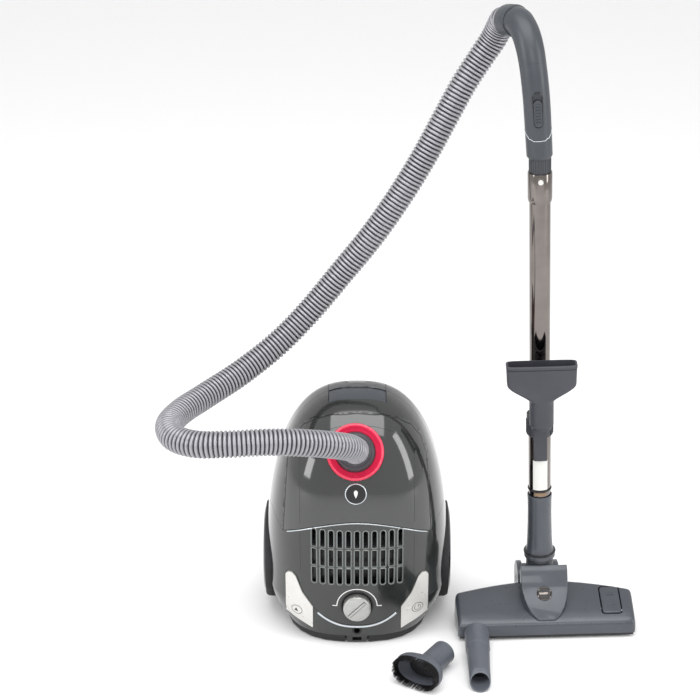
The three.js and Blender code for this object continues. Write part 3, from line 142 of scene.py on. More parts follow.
def set_lights():
    def softbox(name, place, aim, size, power, tint=(1, 1, 1)):
        data = bpy.data.lights.new(name, "AREA")
        data.shape = "RECTANGLE"
        data.size, data.size_y = size
        data.energy = power
        data.color = tint
        lamp = bpy.data.objects.new(name, data)
        lamp.location = place
        lamp.rotation_euler = (Vector(aim) - Vector(place)).to_track_quat("-Z", "Y").to_euler()
        bpy.context.scene.collection.objects.link(lamp)

    softbox("top_softbox", (0, -0.7, 2.6), (0, 0, 0.3), (2.6, 1.8), 42)
    softbox("left_softbox", (-2.2, -1.2, 1.3), (0, 0, 0.35), (0.7, 1.9), 20)
    softbox("right_softbox", (2.3, -0.9, 1.2), (0, 0, 0.35), (0.6, 1.9), 16)
    softbox("front_softbox", (0.3, -2.9, 1.9), (0, 0, 0.3), (1.6, 0.8), 14)
    world = bpy.context.scene.world or bpy.data.worlds.new("studio")
    bpy.context.scene.world = world
    world.use_nodes = True
    sky = world.node_tree.nodes["Background"]
    sky.inputs["Color"].default_value = (1.0, 1.0, 1.0, 1)
    sky.inputs["Strength"].default_value = 0.85
    bpy.context.scene.view_settings.view_transform = "Standard"


# ------------------------------------------------------------------ materials

def linear(colour):
    return tuple(c / 12.92 if c <= 0.04045 else ((c + 0.055) / 1.055) ** 2.4 for c in colour)


def start(name):
    made = bpy.data.materials.new(name)
    made.use_nodes = True
    tree = made.node_tree
    shader = tree.nodes["Principled BSDF"]
    return made, tree, shader


def plain(name, colour, rough):
    made, tree, shader = start(name)
    shader.inputs["Base Color"].default_value = (*linear(colour), 1)
    shader.inputs["Roughness"].default_value = rough
    return made


def noise(tree, scale, detail=3.0, rough=0.55):
    place = tree.nodes.get("place") or tree.nodes.new("ShaderNodeTexCoord")
    place.name = "place"
    cloud = tree.nodes.new("ShaderNodeTexNoise")
    cloud.inputs["Scale"].default_value = scale
    cloud.inputs["Detail"].default_value = detail
    cloud.inputs["Roughness"].default_value = rough
    tree.links.new(place.outputs["Object"], cloud.inputs["Vector"])
    return cloud


def ranged(tree, value, low, high, start_at=0.3, end_at=0.7):
    spread = tree.nodes.new("ShaderNodeMapRange")
    spread.inputs["From Min"].default_value = start_at
    spread.inputs["From Max"].default_value = end_at
    spread.inputs["To Min"].default_value = low
    spread.inputs["To Max"].default_value = high
    tree.links.new(value, spread.inputs["Value"])
    return spread.outputs["Result"]


def mixed(tree, share, first, second):
    blend = tree.nodes.new("ShaderNodeMix")
    blend.data_type = "RGBA"
    blend.inputs["A"].default_value = (*linear(first), 1)
    blend.inputs["B"].default_value = (*linear(second), 1)
    tree.links.new(share, blend.inputs["Factor"])
    return blend.outputs["Result"]


def relief(tree, shader, height, depth, distance=0.001):
    bump = tree.nodes.new("ShaderNodeBump")
    bump.inputs["Strength"].default_value = depth
    bump.inputs["Distance"].default_value = distance
    tree.links.new(height, bump.inputs["Height"])
    tree.links.new(bump.outputs["Normal"], shader.inputs["Normal"])
    return bump


def moulded(name, colour, rough, shade=0.035, grain=0.0, grain_size=900, coat=0.0, metal=0.0,
            coat_rough=0.06):
    """Moulded plastic: slow colour drift, patchy gloss from handling, and a fine spark-eroded grain."""
    made, tree, shader = start(name)
    drift = noise(tree, 14, 4)
    darker = tuple(max(c - shade, 0) for c in colour)
    lighter = tuple(min(c + shade * 0.6, 1) for c in colour)
    share = ranged(tree, drift.outputs["Fac"], 0, 1)
    tree.links.new(mixed(tree, share, darker, lighter), shader.inputs["Base Color"])
    patches = noise(tree, 46, 6, 0.65)
    tree.links.new(ranged(tree, patches.outputs["Fac"], rough * 0.85, rough * 1.2),
                   shader.inputs["Roughness"])
    shader.inputs["Metallic"].default_value = metal
    shader.inputs["Coat Weight"].default_value = coat
    shader.inputs["Coat Roughness"].default_value = coat_rough
    if grain:
        fine = noise(tree, grain_size, 2)
        relief(tree, shader, fine.outputs["Fac"], grain, 0.0004)
    return made


def chromed(name, colour=(0.86, 0.87, 0.89)):
    """Drawn tube, plated: faint lengthwise drawing marks and smudges."""
    made, tree, shader = start(name)
    shader.inputs["Metallic"].default_value = 1
    marks = noise(tree, 60, 4)
    stretch = tree.nodes.new("ShaderNodeMapping")
    stretch.inputs["Scale"].default_value = (60, 60, 1.5)
    tree.links.new(tree.nodes["place"].outputs["Object"], stretch.inputs["Vector"])
    tree.links.new(stretch.outputs["Vector"], marks.inputs["Vector"])
    marks.inputs["Scale"].default_value = 12
    smudge = noise(tree, 26, 5)
    share = ranged(tree, smudge.outputs["Fac"], 0, 1)
    darker = tuple(c - 0.05 for c in colour)
    tree.links.new(mixed(tree, share, darker, colour), shader.inputs["Base Color"])
    tree.links.new(ranged(tree, smudge.outputs["Fac"], 0.05, 0.13), shader.inputs["Roughness"])
    relief(tree, shader, marks.outputs["Fac"], 0.03, 0.0002)
    return made


def brushed(name, colour=(0.74, 0.74, 0.73)):
    """Brushed metal-look finish of the knob."""
    made, tree, shader = start(name)
    shader.inputs["Metallic"].default_value = 0.75
    lines = noise(tree, 10, 6)
    stretch = tree.nodes.new("ShaderNodeMapping")
    stretch.inputs["Scale"].default_value = (8, 8, 260)
    tree.links.new(tree.nodes["place"].outputs["Object"], stretch.inputs["Vector"])
    tree.links.new(stretch.outputs["Vector"], lines.inputs["Vector"])
    share = ranged(tree, lines.outputs["Fac"], 0, 1)
    darker = tuple(c - 0.12 for c in colour)
    tree.links.new(mixed(tree, share, darker, colour), shader.inputs["Base Color"])
    tree.links.new(ranged(tree, lines.outputs["Fac"], 0.24, 0.4), shader.inputs["Roughness"])
    relief(tree, shader, lines.outputs["Fac"], 0.12, 0.0002)
    return made


def ribbed(name, crest, valley_shade):
    """Blown hose: silvery crests, painted shade darkening the valleys between the ribs and the bore, and a
    little haze from handling.
    """
    made, tree, shader = start(name)
    depth = tree.nodes.new("ShaderNodeAttribute")
    depth.attribute_name = "groove"
    # painted shade: the groove attribute blends from the crest colour to the dark valley colour down into
    # each valley and in the bore
    share = ranged(tree, depth.outputs["Fac"], 0, 1, 0.12, 0.95)
    tree.links.new(mixed(tree, share, crest, valley_shade), shader.inputs["Base Color"])
    haze = noise(tree, 60, 5)
    tree.links.new(ranged(tree, haze.outputs["Fac"], 0.24, 0.36), shader.inputs["Roughness"])
    shader.inputs["Metallic"].default_value = 0.35
    fine = noise(tree, 900, 2)
    relief(tree, shader, fine.outputs["Fac"], 0.05, 0.0003)
    return made


def fleece(name, colour):
    """Filter and bag fleece: tangled fibres."""
    made, tree, shader = start(name)
    fibres = noise(tree, 380, 8, 0.75)
    share = ranged(tree, fibres.outputs["Fac"], 0, 1)
    darker = tuple(c * 0.82 for c in colour)
    tree.links.new(mixed(tree, share, darker, colour), shader.inputs["Base Color"])
    shader.inputs["Roughness"].default_value = 0.95
    shader.inputs["Sheen Weight"].default_value = 0.3
    relief(tree, shader, fibres.outputs["Fac"], 0.5, 0.001)
    return made


def make_finishes():
    """One finish for each material slot of the record, and a few more for small trim."""
    return {
        "casing_gloss": moulded("casing_gloss", (0.17, 0.18, 0.173), 0.16, 0.012, coat=0.6, metal=0.25),
        "panel_gloss": moulded("panel_gloss", (0.185, 0.196, 0.19), 0.1, 0.01, coat=1.0, metal=0.3),
        "navy_gloss": moulded("navy_gloss", (0.06, 0.07, 0.1), 0.14, 0.012, coat=0.8, metal=0.2),
        "black_plastic": moulded("black_plastic", (0.075, 0.075, 0.085), 0.4, 0.01, 0.08),
        "rubber": moulded("rubber", (0.11, 0.11, 0.12), 0.72, 0.015, 0.25, 1400),
        "red_plastic": moulded("red_plastic", (0.89, 0.16, 0.31), 0.24, 0.02, coat=0.5),
        "purple_grey": moulded("purple_grey", (0.2, 0.19, 0.215), 0.36, 0.02, 0.06),
        # the hose's silver at the crests, then the dark colour of the painted shade in the valleys
        "hose_silver": ribbed("hose_silver", (0.60, 0.60, 0.62), (0.13, 0.13, 0.15)),
        "light_silver": moulded("light_silver", (0.83, 0.825, 0.81), 0.3, 0.02, 0.04, metal=0.25),
        "knob_silver": brushed("knob_silver"),
        "chrome": chromed("chrome", (0.5, 0.475, 0.46)),
        "grip_grey": moulded("grip_grey", (0.225, 0.24, 0.262), 0.36, 0.02, 0.12, 1300),
        "dark_plastic": moulded("dark_plastic", (0.22, 0.23, 0.25), 0.42, 0.02, 0.1, 1200),
        "charcoal": moulded("charcoal", (0.22, 0.225, 0.25), 0.5, 0.02, 0.16, 1300),
        "head_grey": moulded("head_grey", (0.27, 0.285, 0.31), 0.3, 0.02, 0.05, 1300, coat=0.25, metal=0.2),
        "tool_grey": moulded("tool_grey", (0.33, 0.345, 0.375), 0.44, 0.02, 0.14, 1200),
        "bristle": moulded("bristle", (0.05, 0.05, 0.06), 0.5, 0.01),
        "bag_fleece": fleece("bag_fleece", (0.85, 0.81, 0.72)),
        "filter_fleece": fleece("filter_fleece", (0.32, 0.32, 0.34)),
        "steel": brushed("steel", (0.7, 0.71, 0.73)),
        # bright strips: real bright trim, and painted highlights along the casing's edges
        "bright_trim_and_highlight": moulded("bright_trim_and_highlight", (0.80, 0.82, 0.84), 0.22, 0.01, metal=0.6),
        # dark strips: joints, seals, bezels and print, and painted shade in creases and hollows
        "dark_trim_and_shade": moulded("dark_trim_and_shade", (0.06, 0.065, 0.075), 0.3, 0.005),
        "white_print": moulded("white_print", (0.88, 0.88, 0.87), 0.45, 0.01),
        # light grey of the grille slot rims: painted highlight on the slot edges
        "slot_rim_highlight": moulded("slot_rim_highlight", (0.47, 0.49, 0.48), 0.22, 0.01, metal=0.4),
        "tan_label": moulded("tan_label", (0.52, 0.42, 0.33), 0.5, 0.03),
        "label_paper": moulded("label_paper", (0.85, 0.85, 0.835), 0.5, 0.015),
    }


# ------------------------------------------------------------------ making pieces

def only(piece):
    bpy.ops.object.select_all(action="DESELECT")
    piece.select_set(True)
    bpy.context.view_layer.objects.active = piece


def apply_all(piece):
    only(piece)
    for modifier in list(piece.modifiers):
        bpy.ops.object.modifier_apply(modifier=modifier.name)


def edited(piece, *steps):
    """Runs edit-mode steps on the whole of a piece."""
    only(piece)
    bpy.ops.object.mode_set(mode="EDIT")
    bpy.ops.mesh.select_all(action="SELECT")
    for step in steps:
        step()
    bpy.ops.object.mode_set(mode="OBJECT")


def outward():
    bpy.ops.mesh.normals_make_consistent(inside=False)


def meshed(name, points, faces):
    data = bpy.data.meshes.new(name)
    data.from_pydata([Vector(p) * MM for p in points], [], faces)
    data.update()
    piece = bpy.data.objects.new(name, data)
    bpy.context.scene.collection.objects.link(piece)
    return piece


def soften(piece, width, steps=2, angle=35):
    edge = piece.modifiers.new("soft edge", "BEVEL")
    edge.width = width * MM
    edge.segments = steps
    edge.limit_method = "ANGLE"
    edge.angle_limit = math.radians(angle)
    edge.miter_outer = "MITER_ARC"
    apply_all(piece)


def smooth(piece, angle=32):
    only(piece)
    bpy.ops.object.shade_smooth_by_angle(angle=math.radians(angle))


def place_mesh(piece, matrix):
    """Puts a piece made in millimetres about the origin at its place, inside its mesh."""
    shift = matrix.copy()
    shift.translation = shift.translation * MM
    piece.data.transform(shift)
    piece.data.update()


def joined(name, pieces):
    bpy.ops.object.select_all(action="DESELECT")
    for piece in pieces:
        piece.select_set(True)
    bpy.context.view_layer.objects.active = pieces[0]
    if len(pieces) > 1:
        bpy.ops.object.join()
    pieces[0].name = name
    return pieces[0]


def done(piece, body, slot, nodes=(), look=None):
    """Hands a finished piece to the frame: its body, its slot and the CAD nodes it stands for."""
    piece.data.materials.clear()
    piece.data.materials.append(FINISH[look or slot])
    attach(piece, body)
    if nodes:
        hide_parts(*nodes)
    return piece


def along(axis, at):
    turn = Vector((0, 0, 1)).rotation_difference(Vector(axis).normalized())
    return Matrix.Translation(at) @ turn.to_matrix().to_4x4()


def turned(name, profile, steps=72, rounding=0.0, matrix=None):
    """A turned piece: the profile, as (radius, height), is spun about +Z and set in its place."""
    points = [(r, 0, z) for r, z in profile]
    piece = meshed(name, points, [])
    piece.data.clear_geometry()
    piece.data.from_pydata([Vector(p) * MM for p in points],
                           [(i, i + 1) for i in range(len(points) - 1)], [])
    edited(
        piece,
        lambda: bpy.ops.mesh.spin(steps=steps, angle=2 * math.pi, center=(0, 0, 0), axis=(0, 0, 1)),
        lambda: bpy.ops.mesh.select_all(action="SELECT"),
        lambda: bpy.ops.mesh.remove_doubles(threshold=1e-6),
        outward,
    )
    if rounding:
        soften(piece, rounding, 3, 28)
    if matrix is not None:
        place_mesh(piece, matrix)
    return piece


def block(name, low, high, rounding=0.8, steps=3, matrix=None):
    """A box with rounded edges between two corners."""
    middle = (Vector(low) + Vector(high)) / 2 * MM
    size = (Vector(high) - Vector(low)) * MM
    only_none()
    bpy.ops.mesh.primitive_cube_add(size=1, location=(0, 0, 0))
    piece = bpy.context.object
    piece.name = name
    edited(piece,
           lambda: bpy.ops.transform.resize(value=tuple(size)),
           lambda: bpy.ops.transform.translate(value=tuple(middle)))
    if rounding:
        soften(piece, rounding, steps)
    if matrix is not None:
        place_mesh(piece, matrix)
    return piece


def only_none():
    bpy.ops.object.select_all(action="DESELECT")


def prism(name, outline, low, high, rounding=0.6, steps=2, axis="Y", matrix=None):
    """An outline drawn in X and Z (or X and Y) and extruded along the third axis."""
    def put(u, v, w):
        return (u, w, v) if axis == "Y" else (u, v, w)

    piece = meshed(name, [put(u, v, low) for u, v in outline], [tuple(range(len(outline)))])
    push = (0, (high - low) * MM, 0) if axis == "Y" else (0, 0, (high - low) * MM)
    edited(
        piece,
        lambda: bpy.ops.mesh.extrude_region_move(TRANSFORM_OT_translate={"value": push}),
        lambda: bpy.ops.mesh.select_all(action="SELECT"),
        outward,
    )
    if rounding:
        soften(piece, rounding, steps)
    if matrix is not None:
        place_mesh(piece, matrix)
    return piece


def cut(piece, tool, operation="DIFFERENCE", keep_tool=False):
    """Cuts or joins two closed pieces."""
    join = piece.modifiers.new("cut", "BOOLEAN")
    join.operation = operation
    join.object = tool
    join.solver = "EXACT"
    apply_all(piece)
    if not keep_tool:
        bpy.data.objects.remove(tool)
    return piece


def skin(name, rings, closed_ends=True):
    """A closed skin over rings of equally many points."""
    count = len(rings[0])
    points = [p for ring in rings for p in ring]
    faces = []
    for r in range(len(rings) - 1):
        for k in range(count):
            a, b = r * count + k, r * count + (k + 1) % count
            faces.append((a, b, b + count, a + count))
    if closed_ends:
        faces.append(tuple(reversed(range(count))))
        faces.append(tuple(range(len(points) - count, len(points))))
    piece = meshed(name, points, faces)
    edited(piece, outward)
    return piece


def refined(node, rounding=0.5, steps=2, angle=32, name=None, flatten=0.6):
    """A merged, softened copy of a CAD node's mesh, for shapes that are already right."""
    piece = bpy.data.objects.new(name or node + "_finished", NODES[node].data.copy())
    bpy.context.scene.collection.objects.link(piece)
    only(piece)
    bpy.ops.mesh.customdata_custom_splitnormals_clear()
    edited(
        piece,
        lambda: bpy.ops.mesh.remove_doubles(threshold=2e-6),
        lambda: bpy.ops.mesh.dissolve_limited(angle_limit=math.radians(flatten)),
    )
    if rounding:
        soften(piece, rounding, steps, max(angle, 30))
    smooth(piece, angle)
    return piece


def carried(node, rounding=0.5, steps=2, angle=32, look=None):
    """A refined copy that stands for its node."""
    piece = refined(node, rounding, steps, angle)
    return done(piece, BODY_OF[node], SLOT_OF[node], (node,), look)


# ------------------------------------------------------------------ smooth curves

def through(points, count):
    """A centripetal Catmull-Rom curve through points, at evenly spaced places along its length."""
    fixed = [Vector(p) for p in points]
    fixed = [fixed[0] * 2 - fixed[1], *fixed, fixed[-1] * 2 - fixed[-2]]
    fine = []
    for a, b, c, d in zip(fixed, fixed[1:], fixed[2:], fixed[3:]):
        t = [0.0]
        for p, q in ((a, b), (b, c), (c, d)):
            t.append(t[-1] + max((q - p).length, 1e-6) ** 0.5)
        for k in range(40):
            u = t[1] + (t[2] - t[1]) * k / 40
            ab = a.lerp(b, (u - t[0]) / (t[1] - t[0]))
            bc = b.lerp(c, (u - t[1]) / (t[2] - t[1]))
            cd = c.lerp(d, (u - t[2]) / (t[3] - t[2]))
            abc = ab.lerp(bc, (u - t[0]) / (t[2] - t[0]))
            bcd = bc.lerp(cd, (u - t[1]) / (t[3] - t[1]))
            fine.append(abc.lerp(bcd, (u - t[1]) / (t[2] - t[1])))
    fine.append(fixed[-2])
    lengths = [0.0]
    for p, q in zip(fine, fine[1:]):
        lengths.append(lengths[-1] + (q - p).length)
    even = []
    j = 0
    for k in range(count):
        goal = lengths[-1] * k / (count - 1)
        while j < len(fine) - 2 and lengths[j + 1] < goal:
            j += 1
        share = (goal - lengths[j]) / max(lengths[j + 1] - lengths[j], 1e-9)
        even.append(fine[j].lerp(fine[j + 1], min(max(share, 0), 1)))
    return even, lengths[-1]


def frames_along(path, up=Vector((0, 0, 1))):
    """A side and an up direction at each point of a path, carried along without twisting."""
    made = []
    side = None
    for k, point in enumerate(path):
        ahead = (path[min(k + 1, len(path) - 1)] - path[max(k - 1, 0)]).normalized()
        side = ahead.cross(up) if side is None else side - ahead * side.dot(ahead)
        side = side.normalized()
        made.append((point, side, side.cross(ahead), ahead))
    return made


def circle(place, radius, count=28):
    point, side, top, ahead = place
    return [point + side * (radius * math.cos(2 * math.pi * k / count))
            + top * (radius * math.sin(2 * math.pi * k / count)) for k in range(count)]


# ------------------------------------------------------------------ hose

def make_hose():
    """The ribbed hose, made in four lengths."""
    _, length = through(HOSE_ROUTE, 40)
    ribs = round(length / RIB_PITCH)
    per_rib = 6
    path, length = through(HOSE_ROUTE, ribs * per_rib + 1)
    places = frames_along(path)
    profile = [-2.4, -0.6, 0, 0, -0.6, -2.4]
    far_left = min(range(len(path)), key=lambda k: path[k].x)
    first = (far_left // per_rib) * per_rib
    second = next(k for k in range(first, len(path), per_rib) if path[k].x > -55)
    third = next(k for k in range(second, len(path), per_rib) if path[k].x > 85)
    cuts = [0, first, second, third, len(path) - 1]
    for part, (a, b) in enumerate(zip(cuts, cuts[1:])):
        rings = []
        for k in range(a, b + 1):
            edge = k in (0, len(path) - 1)
            dip = -2.4 if edge else profile[k % per_rib]
            rings.append(circle(places[k], HOSE_R + dip))
        walls = [circle(places[k], HOSE_BORE) for k in range(b, a - 1, -per_rib)]
        piece = skin(f"hose_length_{part + 1}", rings + walls, closed_ends=False)
        count = len(rings[0])
        last = (len(rings) + len(walls) - 1) * count
        shell = bmesh.new()
        shell.from_mesh(piece.data)
        shell.verts.ensure_lookup_table()
        for k in range(count):
            near, far = k, (k + 1) % count
            shell.faces.new([shell.verts[i] for i in (last + near, last + far, far, near)])
        bmesh.ops.recalc_face_normals(shell, faces=shell.faces)
        shell.to_mesh(piece.data)
        shell.free()
        smooth(piece, 60)
        # groove depth for each vertex, 1 in the bore: the mask of the painted shade in the hose's valleys
        groove_shade = piece.data.attributes.new("groove", "FLOAT", "POINT")
        for index in range(len(piece.data.vertices)):
            ring = index // count
            dip = 1.0 if ring >= len(rings) else -profile[(a + ring) % per_rib] / 2.4
            groove_shade.data[index].value = dip
        piece.data.materials.append(FINISH["hose_silver"])
        stretch = [path[k] * MM for k in range(a, b + 1, 2)]
        if (b - a) % 2:
            stretch.append(path[b] * MM)
        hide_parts("hose")
        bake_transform(piece)


# ------------------------------------------------------------------ casing

def closing(z, start_at, top, power, root):
    t = min(max((z - start_at) / (top - start_at), 0), 1)
    return (1 - t ** power) ** (1 / root)


def tuck(z, start_at, amount, power):
    t = min(max((start_at - z) / (start_at - BODY_BOTTOM), 0), 1.2)
    return 1 - amount * t ** power


def reaches(z, grow=0.0):
    """Half width, front reach and back reach of the casing at a height."""
    top = BODY_HEIGHT + grow
    width = (BODY_HALF_WIDTH + grow) * closing(z, 120, top, 2.2, 2.6) * tuck(z, 70, 0.19, 1.6)
    front = (BODY_FRONT + grow) * closing(z, 160, top, 2.4, 2.6) * tuck(z, 160, 0.094, 1.3)
    back = (BODY_BACK + grow) * closing(z, 150, top, 2.2, 2.4) * tuck(z, 70, 0.08, 2)
    return width, front, back


def front_y(x, z, grow=0.0):
    width, front, _ = reaches(z, grow)
    share = min(abs(x) / width, 1)
    return BODY_Y - front * (1 - share ** BODY_ROUNDNESS) ** (1 / BODY_ROUNDNESS)


def casing_level(p, grow=0.0):
    """Below zero inside the casing, above zero outside."""
    width, front, back = reaches(p.z, grow)
    reach = back if p.y > BODY_Y else front
    n = BODY_ROUNDNESS
    a = abs(p.x) / max(width, 1)
    b = abs(p.y - BODY_Y) / max(reach, 1)
    return (a ** n + b ** n) ** (1 / n) - 1


def casing_slope(p, grow=0.0):
    step = 0.05
    slope = []
    for axis in range(3):
        ahead, behind = p.copy(), p.copy()
        ahead[axis] += step
        behind[axis] -= step
        slope.append((casing_level(ahead, grow) - casing_level(behind, grow)) / (2 * step))
    return Vector(slope)


def onto_casing(piece, grow=0.0, longest=9.0, depth=2.1):
    """Refines the outside faces of a casing piece and rounds them to the true casing outline."""
    shape = bmesh.new()
    shape.from_mesh(piece.data)
    bmesh.ops.triangulate(shape, faces=shape.faces)
    for _ in range(4):
        long_edges = [e for e in shape.edges if e.calc_length() > longest * MM]
        if not long_edges:
            break
        bmesh.ops.subdivide_edges(shape, edges=long_edges, cuts=1)
        bmesh.ops.triangulate(shape, faces=[f for f in shape.faces if len(f.verts) > 3])
    outside = set()
    for face in shape.faces:
        middle = face.calc_center_median() / MM
        if middle.z > BODY_HEIGHT - 3:
            continue
        slope = casing_slope(middle, grow)
        if slope.length < 1e-6:
            continue
        gap = casing_level(middle, grow) / slope.length
        if -depth < gap < 0.6 and face.normal.dot(slope.normalized()) > 0.8:
            outside.add(face)
    moved = {v for face in outside for v in face.verts}
    for vertex in moved:
        p = vertex.co / MM
        for _ in range(3):
            slope = casing_slope(p, grow)
            p -= slope * (casing_level(p, grow) / slope.length_squared)
        if (p - vertex.co / MM).length < depth + 0.8:
            vertex.co = p * MM
    shape.normal_update()
    shape.faces.ensure_lookup_table()
    flags = [face in outside for face in shape.faces]
    shape.to_mesh(piece.data)
    shape.free()
    smooth(piece, 32)
    loops = [Vector((0, 0, 0))] * len(piece.data.loops)
    on_skin = set()
    for polygon, flag in zip(piece.data.polygons, flags):
        if flag:
            on_skin.update(polygon.vertices)
    normal_of = {}
    for index in on_skin:
        p = piece.data.vertices[index].co / MM
        slope = casing_slope(p, grow)
        if slope.length > 1e-6 and p.z < BODY_HEIGHT - 4:
            normal_of[index] = slope.normalized()
    for polygon in piece.data.polygons:
        for k in polygon.loop_indices:
            index = piece.data.loops[k].vertex_index
            if index in normal_of and polygon.normal.dot(normal_of[index]) > 0.72:
                loops[k] = normal_of[index]
    piece.data.normals_split_custom_set(loops)
    return piece


def casing_piece(node, grow=0.0, rounding=0.5, look=None):
    piece = refined(node, rounding, 2, 34, flatten=0.02)
    onto_casing(piece, grow)
    return done(piece, BODY_OF[node], SLOT_OF[node], (node,), look)


def on_front(x, z, lift=0.0):
    """A frame on the casing's front: +Z outwards, +X to the right."""
    at = Vector((x, front_y(x, z), z))
    out = casing_slope(at).normalized()
    right = (Vector((1, 0, 0)) - out * out.x).normalized()
    upward = out.cross(right)
    matrix = Matrix((right, upward, out)).transposed().to_4x4()
    matrix.translation = at + out * lift
    return matrix


def strip(name, points, half=0.5, stand=0.25, sink=0.8, grow=0.0):
    """A slim line that follows the casing's front through points given as (x, z): trim, print, joints, and
    strips of painted highlight and painted shade.
    """
    places = []
    for x, z in points:
        at = Vector((x, front_y(x, z, grow), z))
        places.append((at, casing_slope(at, grow).normalized()))
    rings = []
    for k, (at, out) in enumerate(places):
        ahead = (places[min(k + 1, len(places) - 1)][0] - places[max(k - 1, 0)][0]).normalized()
        side = out.cross(ahead).normalized()
        rings.append([
            at - side * half - out * sink, at - side * half + out * stand * 0.3,
            at - side * half * 0.5 + out * stand, at + side * half * 0.5 + out * stand,
            at + side * half + out * stand * 0.3, at + side * half - out * sink,
        ])
    piece = skin(name, rings)
    smooth(piece, 50)
    return piece


def seam_z(x):
    return 217 - 34 * min(abs(x) / 112, 1) ** 2


def bumper_z(x):
    return 35 + 31 * (min(abs(x), 68) / 68) ** 2.4


def make_casing():
    for node in ("lid_frame", "lid_panel", "tail_cover", "bumper", "base_shell"):
        casing_piece(node, rounding=0)
    casing_piece("rewind_pedal", 2.0, 0.8)
    casing_piece("power_pedal", 2.0, 0.8)
    casing_piece("lid_latch", -1.2, 0.8)
    casing_piece("carry_handle", 0.0, 1.2)


def panel_edge():
    """The joint between the front panel and the lid, as (x, z) from right to left."""
    corners = [(112, seam_z(112) + 1)]
    for k in range(13):
        angle = math.pi * k / 12
        c = math.cos(angle)
        corners.append((107 * math.copysign(abs(c) ** 0.8, c), 262 + 104 * abs(math.sin(angle)) ** 0.8))
    corners.append((-112, seam_z(112) + 1))
    points = []
    for (x1, z1), (x2, z2) in zip(corners, corners[1:]):
        count = max(int(math.hypot(x2 - x1, z2 - z1) / 3), 1)
        points += [(x1 + (x2 - x1) * k / count, z1 + (z2 - z1) * k / count) for k in range(count)]
    return points + [corners[-1]]


def make_styling_lines():
    """Bright strips of painted highlight along the edge under the lid and along the lower bumper, the dark
    joint round the front panel, and dark strips of painted shade along the moulded crease round the panel
    and the creases on the tail.
    """
    # painted highlight: a bright strip along the lower edge at the bumper
    lip = [(x, bumper_z(x) - 3.2) for x in range(-60, 61, 4)]
    done(strip("bumper_highlight", lip, 1.7, 1.1), "canister", "casing_gloss", look="bright_trim_and_highlight")
    # painted highlight: a bright strip along the edge under the lid
    edge = [(x, seam_z(x) - 1.6) for x in range(-106, 107, 4)]
    done(strip("tail_edge_highlight", edge, 0.7, 0.35), "canister", "casing_gloss", look="bright_trim_and_highlight")
    done(strip("panel_joint", panel_edge(), 1.0, 0.12), "lid", "panel_gloss", look="dark_trim_and_shade")
    # painted shade: a dark strip along the crease round the panel
    crease = []
    for k in range(0, 41):
        angle = math.pi * (1 - k / 40)
        crease.append((86 * math.cos(angle), 300 + 54 * math.sin(angle)))
    left = [(-86, z) for z in range(206, 300, 6)]
    right = [(86, z) for z in range(300, 205, -6)]
    done(strip("lid_crease_shade", left + crease + right, 0.35, 0.06), "lid", "panel_gloss",
         look="dark_trim_and_shade")
    # painted shade: dark strips along the creases on the tail
    for word, side in (("left", -1), ("right", 1)):
        run = [(side * 86, z) for z in range(124, 194, 6)]
        done(strip(f"tail_crease_shade_{word}", run, 0.35, 0.06), "canister", "casing_gloss",
             look="dark_trim_and_shade")


def rounded_slot(name, matrix, half_x, half_z, corner, width, top_round, low_round):
    """A slim raised rim round one grille slot."""
    outline = []
    for cx, cz, first, big in ((1, 1, 0, top_round), (-1, 1, 1, top_round),
                               (-1, -1, 2, low_round), (1, -1, 3, low_round)):
        r = half_x * 0.95 if big else corner
        for k in range(6):
            angle = math.pi / 2 * (first + k / 5)
            outline.append((cx * (half_x - r) + r * math.cos(angle),
                            cz * (half_z - r) + r * math.sin(angle), r))
    rings = []
    count = len(outline)
    for (u, v, r) in outline:
        centre = Vector((math.copysign(max(half_x - r, 0), u), math.copysign(half_z - r, v), 0))
        out = (Vector((u, v, 0)) - centre)
        out = out.normalized() if out.length > 1e-6 else Vector((1, 0, 0))
        at = Vector((u, v, 0))
        rings.append([at - out * 0.35 + Vector((0, 0, -2.6)), at - out * 0.35 + Vector((0, 0, 0.25)),
                      at + out * width * 0.45 + Vector((0, 0, 0.5)), at + out * width],)
    points = [p for ring in rings for p in ring]
    faces = []
    for a in range(count):
        b = (a + 1) % count
        for k in range(4):
            k2 = (k + 1) % 4
            faces.append((a * 4 + k, b * 4 + k, b * 4 + k2, a * 4 + k2))
    piece = meshed(name, points, faces)
    edited(piece, outward)
    place_mesh(piece, matrix)
    return piece


def make_grille():
    """Rims round the 33 slots of the exhaust grille, light grey as a painted highlight on the slot edges,
    and the filter behind them, coloured near black as painted shade in the slots.
    """
    rims = []
    for column in range(11):
        x = (column - 5) * 13
        for row in range(3):
            z = 109.5 + row * 32.4 + 14.5
            rim = rounded_slot("slot_rim", on_front(x, z), 3.8, 14.5, 1.0, 1.3, row == 2, row == 0)
            rims.append(rim)
    rims = joined("grille_rims", rims)
    smooth(rims, 40)
    # painted highlight: the slot rims are lighter than the casing
    done(rims, "canister", "casing_gloss", look="slot_rim_highlight")
    # painted shade: the filter behind the slots is coloured near black for the shade inside the slots
    carried("exhaust_filter", 1.0, look="black_plastic")


